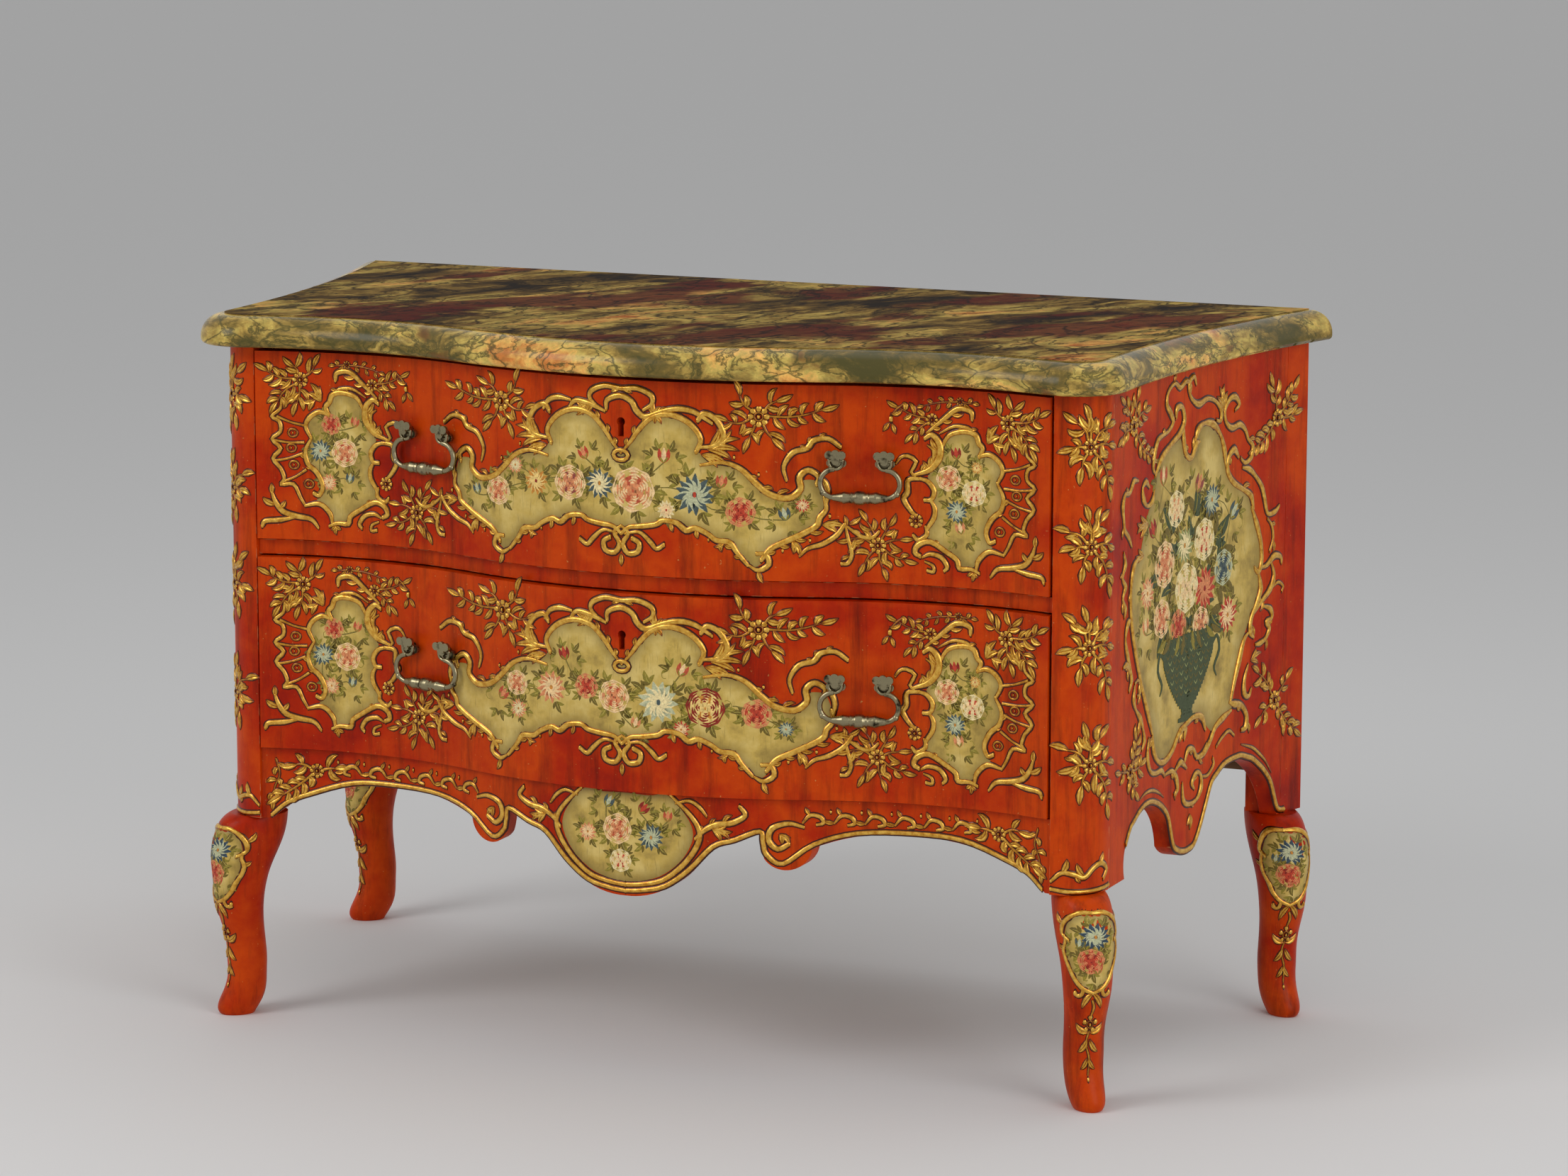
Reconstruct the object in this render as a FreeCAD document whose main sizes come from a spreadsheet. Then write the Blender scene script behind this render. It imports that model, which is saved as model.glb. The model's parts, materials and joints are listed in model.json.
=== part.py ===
"""A serpentine chest of two drawers on four curved legs, with a moulded top.

All sizes are millimetres. X runs to the chest's left-to-right width, the front faces -Y and Z is up.
The origin is on the floor, under the middle of the whole chest.
"""

import FreeCAD, Part
import os
import re
import Sketcher

# Driving sizes, kept in the sheet
SIZES = {
    # The whole chest
    "overall_depth": 630,
    "leg_height": 246,
    "apron_height": 85,
    # The waved front, seen from above
    "opening_half": 499,
    "wave_depth": 70,
    "trough_x": 375,
    "crest_radius": 600,
    "post_radius": 52,
    "post_setback": 108,
    "side_radius": 1734,
    # The top
    "top_thick": 36,
    "top_overhang": 24,
    "top_corner_radius": 58,
    "top_back_overhang": 6,
    "ovolo_radius": 26,
    "nose_radius": 6,
    "step_height": 1.5,
    "step_inset": 2,
    "rear_board_width": 220,
    # Boards of the case
    "side_thick": 22,
    "back_thick": 16,
    "back_rebate": 10,
    "back_drop": 23,
    "back_joint_drop": 5,
    "post_tongue": 18,
    "rear_post_depth": 42,
    "rear_post_width": 44,
    "rail_thick": 18,
    "rail_recess": 10,
    "top_rail_depth": 28,
    "top_rail_thick": 24,
    "apron_thick": 22,
    "apron_recess": 8,
    "apron_drop": 122,
    "side_drop": 7,
    "runner_width": 34,
    "guide_width": 26,
    "guide_height": 30,
    "kicker_height": 24,
    "dust_thick": 8,
    "dust_drop": 5,
    "stop_width": 40,
    "stop_x": 300,
    "stop_height": 20,
    "block_width": 30,
    "block_length": 90,
    # Drawers
    "upper_front_height": 223,
    "lower_front_height": 230,
    "top_gap": 6,
    "rail_gap": 2,
    "front_side_gap": 3,
    "runner_lift": 0.5,
    "guide_gap": 2,
    "front_thick": 24,
    "drawer_side_thick": 14,
    "drawer_side_drop": 22,
    "drawer_back_drop": 10,
    "stop_space": 23,
    "bottom_thick": 9,
    "bottom_lift": 6,
    "groove_depth": 5,
    "notch_depth": 8,
    "stop_gap": 1,
    # Legs
    "leg_width": 84,
    "front_leg_out": 32,
    "front_leg_lead": 26,
    "rear_leg_out": 37.6,
    "rear_leg_inset": 32,
    "front_leg_turn": 45,
    "rear_leg_turn": 35,
    "tenon_radius": 9,
    "tenon_length": 60,
    # Handles
    "handle_x": 270,
    "upper_handle_drop": 83,
    "lower_handle_drop": 93,
    "post_spacing": 55,
    "stem_radius": 2.5,
    "shoulder_radius": 4.5,
    "pivot_out": 11,
    "head_out": 15.5,
    "pin_radius": 2,
    "pin_clearance": 0.3,
    "petal_radius": 4.8,
    "petal_thick": 4,
    "rosette_out": 7,
    "eye_half": 7.5,
    "eye_drop": 2.5,
    "arm_radius": 16,
    "arm_wire": 3.2,
    "arm_shift": 1.5,
    "bulge_radius": 8,
    "side_bulge_radius": 7,
    "bead_radius": 6,
    "nut_size": 12,
    "nut_thick": 4,
    # Locks
    "key_drop": 54,
    "keyhole_radius": 5,
    "keyhole_slot": 7,
    "keyhole_rise": 6,
    "keyhole_fall": 11,
    "lock_width": 72,
    "lock_below_key": 31,
    "lock_recess": 2,
    "plate_thick": 2.5,
    "lock_case_width": 54,
    "lock_case_thick": 11,
    "bolt_width": 12,
    "bolt_thick": 4,
    "bolt_length": 32,
    "bolt_travel": 12,
    "bolt_clearance": 0.4,
    "mortise_clearance": 0.8,
    "bolt_inset": 3,
    "screw_radius": 1.8,
    "screw_head_radius": 2.9,
    "screw_head_thick": 1.6,
    "screw_length": 16,
    "screw_inset": 6,
    # Nails of the back
    "nail_radius": 1.5,
    "nail_head_radius": 3.5,
    "nail_head_thick": 1.2,
    "nail_length": 34,
    # How far a cutting shape runs past what it cuts
    "overrun": 20,
}

# Places and sizes that follow from the driving sizes
FORMULAS = {
    "back_edge_y": "overall_depth / 2",
    "crest_y": "top_overhang - overall_depth / 2",
    "trough_y": "crest_y + wave_depth",
    "trough_radius": "(trough_x ^ 2 + wave_depth ^ 2) / (2 * wave_depth) - crest_radius",
    "crest_centre_y": "crest_y + crest_radius",
    "trough_centre_y": "trough_y - trough_radius",
    "wave_span": "crest_radius + trough_radius",
    "wave_sine": "trough_x / wave_span",
    "wave_cosine": "(crest_centre_y - trough_centre_y) / wave_span",
    "post_y": "crest_y + post_setback",
    "post_back_y": "post_y + post_tongue",
    "case_side_x": "opening_half + post_radius",
    "side_centre_x": "case_side_x + side_radius",
    "case_back_y": "back_edge_y - top_back_overhang",
    "back_front_y": "case_back_y - back_thick",
    "rear_post_y": "case_back_y - rear_post_depth",
    "rear_post_x":
        "side_centre_x - sqrt(side_radius ^ 2 - (rear_post_y - post_y) ^ 2) - rear_post_width",
    "apron_top": "leg_height + apron_height",
    "bottom_rail_bottom": "apron_top - rail_thick",
    "lower_front_bottom": "apron_top + rail_gap",
    "lower_front_top": "lower_front_bottom + lower_front_height",
    "rail_bottom": "lower_front_top + rail_gap",
    "rail_top": "rail_bottom + rail_thick",
    "upper_front_bottom": "rail_top + rail_gap",
    "upper_front_top": "upper_front_bottom + upper_front_height",
    "case_top": "upper_front_top + top_gap",
    "overall_height": "case_top + top_thick",
    "back_bottom_z": "bottom_rail_bottom - back_drop",
    "back_joint_z": "rail_bottom - back_joint_drop",
    "top_joint_y": "back_edge_y - rear_board_width",
    "front_leg_x": "opening_half + front_leg_out",
    "front_leg_y": "post_y - front_leg_lead",
    "rear_leg_x": "rear_post_x + rear_leg_out",
    "rear_leg_y": "case_back_y - rear_leg_inset",
    "top_corner_x": "case_side_x + top_overhang - top_corner_radius",
    "top_corner_reach": "trough_radius - top_overhang + top_corner_radius",
    "top_corner_y":
        "trough_centre_y + sqrt(top_corner_reach ^ 2 - (top_corner_x - trough_x) ^ 2)",
    "front_half": "opening_half - front_side_gap",
    "drawer_inner_half": "front_half - drawer_side_thick",
    "drawer_back_y": "back_front_y - stop_space",
    "runner_inner_x": "opening_half - runner_width",
    "runner_outer_x": "opening_half + guide_width",
    "guide_inner_x": "front_half + guide_gap",
    "handle_lean": "asin((trough_x - handle_x) / trough_radius)",
    "seat_out": "(post_spacing / 2 + shoulder_radius) ^ 2 / (2 * trough_radius)",
    "petal_out": "pivot_out + pin_radius + pin_clearance * 2",
    "nut_out": "(post_spacing / 2 - nut_size / 2) ^ 2 / (2 * (trough_radius + front_thick)) - front_thick",
    "lock_face_y": "crest_y + front_thick - lock_recess",
    "lock_case_y": "lock_face_y + plate_thick",
    "bolt_y": "lock_case_y + bolt_inset",
}

# Outline of the front apron's lower edge: shares of the opening's half width, and of the apron's drop.
# Each pair of rows is a point that the arc passes and the point where it ends.
APRON_SHARES = [
    ((0.940, 0.560), (0.882, 0.459)),
    ((0.775, 0.340), (0.661, 0.311)),
    ((0.530, 0.335), (0.431, 0.459)),
    ((0.361, 0.664), (0.327, 0.566)),
    ((0.319, 0.440), (0.317, 0.320)),
    ((0.210, 0.490), (0.150, 0.746)),
    ((0.095, 0.915), (0.000, 1.000)),
]
APRON_END_SHARE = 0.985
# Outline of a side's lower edge: shares of the side's run from front post to rear post,
# and of the height from the top of the legs to the top of the apron.
SIDE_SHARES = [
    ((0.135, 0.530), (0.178, 0.670)),
    ((0.244, 0.820), (0.344, 0.730)),
    ((0.395, 0.500), (0.425, 0.100)),
    ((0.496, -0.080), (0.560, 0.000)),
    ((0.600, 0.330), (0.640, 0.720)),
    ((0.764, 0.976), (0.880, 0.800)),
    ((0.945, 0.480), (0.985, 0.000)),
]
SIDE_START_SHARE = 0.118
# Sections of a leg, from the floor up: shares of its height, then shares of its width
# for how far the middle lies out along the leg's turn, and the section's length and breadth.
LEG_SHARES = [
    (0.000, 0.196, 0.490, 0.360),
    (0.024, 0.196, 0.575, 0.430),
    (0.095, 0.110, 0.620, 0.500),
    (0.195, 0.045, 0.560, 0.535),
    (0.300, 0.045, 0.570, 0.545),
    (0.440, 0.095, 0.600, 0.570),
    (0.540, 0.137, 0.680, 0.630),
    (0.650, 0.131, 0.760, 0.680),
    (0.755, 0.090, 0.890, 0.740),
    (0.870, 0.000, 1.020, 0.765),
    (0.950, -0.077, 0.990, 0.750),
    (1.000, -0.178, 0.820, 0.690),
]
# A handle's turned bar from its middle out: shares of the post spacing, a radius by name and its share.
BAR_SHARES = [
    (0.000, "bulge_radius", 1.00),
    (0.075, "bulge_radius", 0.95),
    (0.130, "bead_radius", 1.00),
    (0.180, "bead_radius", 1.10),
    (0.205, "bead_radius", 0.95),
    (0.330, "side_bulge_radius", 1.00),
    (0.430, "side_bulge_radius", 0.75),
    (0.556, "arm_wire", 1.20),
]
# The knobs at an eye's corners and at the curled tails: shares of the wire, and of the arm's bend.
CORNER_SHARE = 1.1
TAIL_SHARE = 1.2
TAIL_OUT_SHARE = 0.8
TAIL_UP_SHARE = 0.32
# Petals of a handle's flower: shares of the petal circle for x and z, and whether the petal is a high one.
PETAL_SHARES = [
    (0.00, 1.60, True),
    (-1.50, 1.35, True),
    (1.50, 1.35, True),
    (-1.35, -0.80, False),
    (1.35, -0.80, False),
    (0.00, -1.50, False),
]
# The bridge between a flower's upper petals, and the nails' heights up each back board.
WEB_SHARE = 1.5
NAIL_HEIGHT_SHARES = [0.08, 0.5, 0.92]
# Points closer than this are one point
SAME_PLACE = 1e-3

doc = FreeCAD.newDocument("chest_of_drawers")
sheet = doc.addObject("Spreadsheet::Sheet", "Sizes")
for row, (alias, size) in enumerate(SIZES.items(), start=1):
    sheet.set(f"A{row}", alias)
    sheet.set(f"B{row}", str(size))
    sheet.setAlias(f"B{row}", alias)
doc.recompute()

WORDS = re.compile(r"[a-z_]+")
nodes = []


def formula(text):
    """Spell out a formula until it names only cells of the sheet."""
    def spell(match):
        word = match.group(0)
        if word in FORMULAS:
            return f"({formula(FORMULAS[word])})"
        if word in SIZES:
            return f"Sizes.{word}"
        return word
    return WORDS.sub(spell, str(text))


def value(text):
    """Give a formula's size in millimetres, or its angle in degrees."""
    return float(sheet.evalExpression(formula(text)))


def bind(item, name, text):
    """Tie a property of an object to the sheet."""
    item.setExpression(name, formula(text))


def place(item, x="0", y="0", z="0", turn="0"):
    """Put an object at a place, turned about the upright axis."""
    for letter, text in (("x", x), ("y", y), ("z", z)):
        if text != "0":
            bind(item, f"Placement.Base.{letter}", text)
    if turn != "0":
        bind(item, "Placement.Rotation.Angle", turn)


def keep(item, label):
    """Name a finished piece and keep it for the export."""
    item.Label = label
    nodes.append(item)
    return item


def box(name, x_span, y_span, z_span):
    """A board with its six faces square to the axes."""
    item = doc.addObject("Part::Box", name)
    for side, low_high in (("Length", x_span), ("Width", y_span), ("Height", z_span)):
        bind(item, side, f"({low_high[1]}) - ({low_high[0]})")
    place(item, x_span[0], y_span[0], z_span[0])
    return item


def rod(name, radius, length, x="0", y="0", z="0", along="z"):
    """A round bar that starts at a place and runs along +X, -Y or +Z."""
    item = doc.addObject("Part::Cylinder", name)
    bind(item, "Radius", radius)
    bind(item, "Height", length)
    turns = {"x": ((0, 1, 0), 90), "-y": ((1, 0, 0), 90), "z": ((0, 0, 1), 0)}
    axis, angle = turns[along]
    item.Placement = FreeCAD.Placement(FreeCAD.Vector(), FreeCAD.Rotation(FreeCAD.Vector(*axis), angle))
    place(item, x, y, z)
    return item


def ball(name, radius, x="0", y="0", z="0"):
    """A round knob."""
    item = doc.addObject("Part::Sphere", name)
    bind(item, "Radius", radius)
    place(item, x, y, z)
    return item


def joined(name, parts):
    """Several shapes as one."""
    item = doc.addObject("Part::MultiFuse", name)
    item.Shapes = parts
    return item


def cut(name, base, tool):
    """One shape less another."""
    item = doc.addObject("Part::Cut", name)
    item.Base = base
    item.Tool = tool
    return item


def within(name, base, tool):
    """The part of one shape that lies in another."""
    item = doc.addObject("Part::Common", name)
    item.Base = base
    item.Tool = tool
    return item


def group(name, parts):
    """Separate solids that share one node."""
    item = doc.addObject("Part::Compound", name)
    item.Links = parts
    return item


def draw(body, name, role, path, level="0"):
    """Draw a closed outline of lines and three-point arcs, pinned to the sheet.

    The path lists corners as (x, y); an arc to the next corner is given by ("via", x, y) before it.
    """
    sketch = body.newObject("Sketcher::SketchObject", name)
    plane = [item for item in body.Origin.OriginFeatures if item.Role == role][0]
    sketch.AttachmentSupport = [(plane, "")]
    sketch.MapMode = "FlatFace"
    if level != "0":
        bind(sketch, "AttachmentOffset.Base.z", level)
    corners = [item for item in path if item[0] != "via"]
    points = [FreeCAD.Vector(value(x), value(y), 0) for x, y in corners]
    bends = {}
    count = 0
    for item in path:
        if item[0] == "via":
            bends[count - 1] = item[1:]
        else:
            count += 1
    pins = []
    for index, start in enumerate(points):
        end = points[(index + 1) % len(points)]
        if index in bends:
            middle = FreeCAD.Vector(value(bends[index][0]), value(bends[index][1]), 0)
            edge = sketch.addGeometry(Part.Arc(start, middle, end), False)
            mark = sketch.addGeometry(Part.Point(middle), True)
            sketch.addConstraint(Sketcher.Constraint("PointOnObject", mark, 1, edge))
            pins.append((mark, 1, bends[index]))
        else:
            edge = sketch.addGeometry(Part.LineSegment(start, end), False)
        near_start = (sketch.getPoint(edge, 1) - start).Length < (sketch.getPoint(edge, 2) - start).Length
        pins.append((edge, 1 if near_start else 2, corners[index]))
    sketch.detectMissingPointOnPointConstraints(SAME_PLACE)
    sketch.makeMissingPointOnPointCoincident()
    for edge, end, (x, y) in pins:
        for kind, axis, text in (("DistanceX", -2, x), ("DistanceY", -1, y)):
            if text == "0":
                sketch.addConstraint(Sketcher.Constraint("PointOnObject", edge, end, axis))
            else:
                pin = sketch.addConstraint(Sketcher.Constraint(kind, -1, 1, edge, end, value(text)))
                bind(sketch, f"Constraints[{pin}]", text)
    return sketch


def pad(body, name, sketch, height):
    """Raise a body from an outline."""
    feature = body.newObject("PartDesign::Pad", name)
    feature.Profile = sketch
    bind(feature, "Length", height)
    return feature


def pocket(body, name, sketch):
    """Cut an outline right through a body, both ways."""
    before = body.Tip
    doc.recompute()
    volume = before.Shape.Volume
    feature = body.newObject("PartDesign::Pocket", name)
    feature.Profile = sketch
    feature.Type = "ThroughAll"
    feature.SideType = "Symmetric"
    doc.recompute()
    if feature.Shape.Volume >= volume:
        raise RuntimeError(f"{name} cut nothing")
    return feature


def slab(name, path, low, high):
    """A board of even height from its outline seen from above."""
    body = doc.addObject("PartDesign::Body", name)
    sketch = draw(body, f"{name}_plan", "XY_Plane", path, low)
    pad(body, f"{name}_pad", sketch, f"({high}) - ({low})")
    return body


def mirrored(path, side):
    """The same outline for the right (1) or the left (-1) half."""
    if side == 1:
        return path
    flipped = []
    for item in path:
        if item[0] == "via":
            flipped.append(("via", negative(item[1]), item[2]))
        else:
            flipped.append((negative(item[0]), item[1]))
    return flipped


def negative(text):
    """The same size on the other side of zero."""
    return "0" if text == "0" else f"-({text})"


def span(side, low, high):
    """A run along X on the right (1) or the left (-1)."""
    return (low, high) if side == 1 else (negative(high), negative(low))


def sided(side, text):
    """A place along X on the right (1) or the left (-1)."""
    return text if side == 1 else negative(text)


def trough_face_y(out, x):
    """Where the hollow stretch of the waved front lies, out from the drawer faces."""
    return f"trough_centre_y + sqrt((trough_radius - ({out})) ^ 2 - (({x}) - trough_x) ^ 2)"


def wave(out, half_width):
    """The waved front from left to right, out from the drawer faces and up to a half width."""
    meet_x = f"(crest_radius + ({out})) * wave_sine"
    meet_y = f"crest_centre_y - (crest_radius + ({out})) * wave_cosine"
    trough = ("via", "trough_x", f"trough_y - ({out})")
    right = [
        ("via", "0", f"crest_y - ({out})"),
        (meet_x, meet_y),
        trough,
        (half_width, trough_face_y(out, half_width)),
    ]
    left = [
        (negative(half_width), trough_face_y(out, half_width)),
        ("via", negative("trough_x"), trough[2]),
        (negative(meet_x), meet_y),
    ]
    return left + right


def side_x(out, y):
    """Where the hollow side lies at a depth y, out from the side panels."""
    return f"side_centre_x - sqrt((side_radius - ({out})) ^ 2 - (({y}) - post_y) ^ 2)"


def top_path(out):
    """The top's outline from its back at the left round to the right, before the back edge is trimmed."""
    back_y = "(back_edge_y + overrun)"
    radius = f"(top_corner_radius - top_overhang + ({out}))"
    share = f"((trough_radius - ({out})) / top_corner_reach)"
    meet_x = f"trough_x + (top_corner_x - trough_x) * {share}"
    meet_y = f"trough_centre_y + (top_corner_y - trough_centre_y) * {share}"
    edge_x = f"case_side_x + ({out})"
    middle_y = f"(post_y + {back_y}) / 2"
    front = wave(out, "top_corner_x")
    front[0] = (negative(meet_x), meet_y)
    front[-1] = (meet_x, meet_y)
    right = [
        ("via", f"top_corner_x + {radius} * cos(45)", f"top_corner_y - {radius} * sin(45)"),
        (edge_x, "top_corner_y"),
        (edge_x, "post_y"),
        ("via", side_x(out, middle_y), middle_y),
        (side_x(out, back_y), back_y),
    ]
    left = [
        (negative(side_x(out, back_y)), back_y),
        ("via", negative(side_x(out, middle_y)), middle_y),
        (negative(edge_x), "post_y"),
        (negative(edge_x), "top_corner_y"),
        ("via", negative(right[0][1]), right[0][2]),
    ]
    return left + front + right


def round_edges(body, name, level, square_y, radius):
    """Round a body's edges at one height, apart from the one along its square back."""
    doc.recompute()
    base = body.Tip
    names = []
    for number, edge in enumerate(base.Shape.Edges, start=1):
        bounds = edge.BoundBox
        flat = max(abs(bounds.ZMin - value(level)), abs(bounds.ZMax - value(level))) < SAME_PLACE
        along = max(abs(bounds.YMin - value(square_y)), abs(bounds.YMax - value(square_y))) < SAME_PLACE
        if flat and not along:
            names.append(f"Edge{number}")
    feature = body.newObject("PartDesign::Fillet", name)
    feature.Base = (base, names)
    bind(feature, "Radius", radius)
    doc.recompute()


def bolt_mortise(name, bottom, depth):
    """The slot above a lock that its bolt rises into."""
    half = "(bolt_width / 2 + mortise_clearance)"
    return box(name, (negative(half), half),
               ("bolt_y - mortise_clearance", "bolt_y + bolt_thick + mortise_clearance"),
               (bottom, f"{bottom} + {depth}"))


def make_top():
    """The moulded top with a low step inside its rounded edge, of two boards joined along its length."""
    low_top = "overall_height - step_height"
    body = slab("top_blank", top_path("top_overhang"), "case_top", low_top)
    round_edges(body, "top_ovolo", low_top, "back_edge_y + overrun", "ovolo_radius")
    round_edges(body, "top_nose", "case_top", "back_edge_y + overrun", "nose_radius")
    step = top_path("top_overhang - ovolo_radius - step_inset")
    pad(body, "top_step_pad", draw(body, "top_step", "XY_Plane", step, low_top), "step_height")
    wide = "(overall_depth * 2)"
    heights = ("case_top - overrun", "overall_height + overrun")
    ahead = box("ahead_of_joint", (negative(wide), wide), ("-overall_depth", "top_joint_y"), heights)
    behind = box("behind_joint", (negative(wide), wide), ("top_joint_y", "back_edge_y"), heights)
    mortise = bolt_mortise("top_bolt_mortise", "case_top", "rail_gap + bolt_travel - top_gap")
    keep(cut("top_front_cut", within("top_front_blank", body, ahead), mortise), "top_front_board")
    keep(within("top_rear_blank", body, behind), "top_rear_board")


def make_leg(place_name, side, turn, cut_back):
    """One curved leg with the round tenon that holds it in its post."""
    label = f"{place_name}_leg_{'right' if side == 1 else 'left'}"
    rings = []
    angle = negative(turn) if side == 1 else f"180 + {turn}"
    for index, (height, out, length, breadth) in enumerate(LEG_SHARES):
        ring = doc.addObject("Part::Ellipse", f"{label}_ring_{index}")
        bind(ring, "MajorRadius", f"leg_width * {length} / 2")
        bind(ring, "MinorRadius", f"leg_width * {breadth} / 2")
        place(ring, sided(side, f"{place_name}_leg_x + leg_width * ({out}) * cos({turn})"),
              f"{place_name}_leg_y - leg_width * ({out}) * sin({turn})",
              f"leg_height * {height}", angle)
        rings.append(ring)
    loft = doc.addObject("Part::Loft", f"{label}_loft")
    loft.Sections = rings
    loft.Solid = True
    out = LEG_SHARES[-1][1]
    x = sided(side, f"{place_name}_leg_x + leg_width * ({out}) * cos({turn})")
    y = f"{place_name}_leg_y - leg_width * ({out}) * sin({turn})"
    start = "leg_height - tenon_radius"
    tenon = rod(f"{label}_tenon", "tenon_radius", "tenon_length + tenon_radius", x, y, start)
    leg = joined(f"{label}_joined", [loft, tenon])
    if cut_back:
        behind = box(f"{label}_back", span(side, "rear_leg_x - leg_width", "rear_leg_x + leg_width"),
                     ("case_back_y", "case_back_y + leg_width"), ("0", "leg_height + tenon_length"))
        leg = cut(f"{label}_flat", leg, behind)
    keep(leg, label)
    return tenon


def make_posts_and_legs():
    """The four corner posts, each on its leg."""
    for side, hand in ((-1, "left"), (1, "right")):
        tenon = make_leg("front", side, "front_leg_turn", False)
        quarter = [
            ("opening_half", "post_y - post_radius"),
            ("via", "opening_half + post_radius * sin(45)", "post_y - post_radius * cos(45)"),
            ("case_side_x", "post_y"),
            ("case_side_x - side_thick", "post_y"),
            ("case_side_x - side_thick", "post_back_y"),
            ("opening_half", "post_back_y"),
        ]
        blank = slab(f"front_post_{hand}_blank", mirrored(quarter, side), "leg_height", "case_top")
        keep(cut(f"front_post_{hand}_cut", blank, tenon), f"front_post_{hand}")
        tenon = make_leg("rear", side, "rear_leg_turn", True)
        middle_y = "(rear_post_y + case_back_y) / 2"
        corner = [
            (side_x("0", "rear_post_y"), "rear_post_y"),
            ("via", side_x("0", middle_y), middle_y),
            (side_x("0", "case_back_y"), "case_back_y"),
            ("rear_post_x + back_rebate", "case_back_y"),
            ("rear_post_x + back_rebate", "back_front_y"),
            ("rear_post_x", "back_front_y"),
            ("rear_post_x", "rear_post_y"),
        ]
        blank = slab(f"rear_post_{hand}_blank", mirrored(corner, side), "leg_height", "case_top")
        nailed = cut(f"rear_post_{hand}_nailed", blank, nails)
        keep(cut(f"rear_post_{hand}_cut", nailed, tenon), f"rear_post_{hand}")


def lower_edge(shares, x_at, z_at, start, end):
    """An outline whose arcs pass through points given as shares, closed below the board."""
    path = [start]
    for bend, stop in shares:
        path.append(("via", x_at(bend[0]), z_at(bend[1])))
        path.append((x_at(stop[0]), z_at(stop[1])))
    return path + end


def make_side_panels():
    """The hollow sides, each with its shaped lower edge."""
    run = "(rear_post_y - post_y)"
    below = "leg_height - apron_drop"
    middle_y = "(post_y + rear_post_y) / 2"
    inner = negative("side_thick")
    plan = [
        ("case_side_x", "post_y"),
        ("via", side_x("0", middle_y), middle_y),
        (side_x("0", "rear_post_y"), "rear_post_y"),
        (side_x(inner, "rear_post_y"), "rear_post_y"),
        ("via", side_x(inner, middle_y), middle_y),
        ("case_side_x - side_thick", "post_y"),
    ]
    edge = lower_edge(SIDE_SHARES,
                      lambda share: f"post_y + {run} * {share}",
                      lambda share: f"leg_height + apron_height * {share}",
                      (f"post_y + {run} * {SIDE_START_SHARE}", "leg_height"),
                      [("rear_post_y + side_thick", "leg_height"),
                       ("rear_post_y + side_thick", below),
                       ("post_y - side_thick", below),
                       ("post_y - side_thick", "leg_height")])
    for side, hand in ((-1, "left"), (1, "right")):
        body = slab(f"side_panel_{hand}_body", mirrored(plan, side), "leg_height - side_drop", "case_top")
        sketch = draw(body, f"side_panel_{hand}_edge", "YZ_Plane", edge)
        pocket(body, f"side_panel_{hand}_cut", sketch)
        keep(body, f"side_panel_{hand}")


def make_rails():
    """The rails between the front posts, and the shaped apron below them."""
    back = "post_back_y"
    keep(box("top_rail", ("-opening_half", "opening_half"), (f"{back} - top_rail_depth", back),
             ("case_top - top_rail_thick", "case_top")), "front_top_rail")
    recess = negative("rail_recess")
    path = wave(recess, "opening_half") + [("opening_half", back), ("-opening_half", back)]
    middle = slab("middle_rail_blank", path, "rail_bottom", "rail_top")
    mortise = bolt_mortise("rail_bolt_mortise", "rail_bottom", "bolt_travel + mortise_clearance")
    keep(cut("middle_rail_cut", middle, mortise), "middle_rail")
    inner = negative("apron_recess + apron_thick")
    path = wave(inner, "opening_half") + [("opening_half", back), ("-opening_half", back)]
    keep(slab("bottom_rail_body", path, "bottom_rail_bottom", "apron_top"), "bottom_rail")


def make_apron():
    """The waved apron with its pendant and its two lobes."""
    outer = wave(negative("apron_recess"), "opening_half")
    inner = wave(negative("apron_recess + apron_thick"), "opening_half")
    body = slab("front_apron_body", outer + inner[::-1], "apron_top - apron_drop", "apron_top")
    half = lower_edge(APRON_SHARES,
                      lambda share: f"opening_half * {share}",
                      lambda share: f"apron_top - apron_drop * {share}",
                      (f"opening_half * {APRON_END_SHARE}", "leg_height"), [])
    left = mirrored(half, -1)
    below = "apron_top - apron_drop - overrun"
    wide = "opening_half + overrun"
    path = [(wide, "leg_height")] + half + left[::-1][1:] + [
        (negative(wide), "leg_height"), (negative(wide), below), (wide, below)]
    sketch = draw(body, "front_apron_edge", "XZ_Plane", path)
    pocket(body, "front_apron_cut", sketch)
    keep(body, "front_apron")


def make_nails():
    """Nails through the back boards into the rear posts."""
    solids = []
    x = "rear_post_x + back_rebate / 2"
    for side in (-1, 1):
        for low, high in (("back_bottom_z", "back_joint_z"), ("back_joint_z", "case_top")):
            for share in NAIL_HEIGHT_SHARES:
                z = f"{low} + (({high}) - ({low})) * {share}"
                tag = f"nail_{len(solids)}"
                place_of = (sided(side, x), "case_back_y", z, "-y")
                shank = rod(f"{tag}_shank", "nail_radius", "nail_length", *place_of)
                head = rod(f"{tag}_head", "nail_head_radius", "nail_head_thick", *place_of)
                solids.append(joined(tag, [shank, head]))
    return keep(group("nails", solids), "back_nails")


def make_back():
    """The two back boards, let into the rear posts."""
    wide = "(rear_post_x + back_rebate)"
    for label, low, high in (("back_board_lower", "back_bottom_z", "back_joint_z"),
                             ("back_board_upper", "back_joint_z", "case_top")):
        board = box(f"{label}_blank", (negative(wide), wide), ("back_front_y", "case_back_y"), (low, high))
        keep(cut(f"{label}_cut", board, nails), label)


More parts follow.
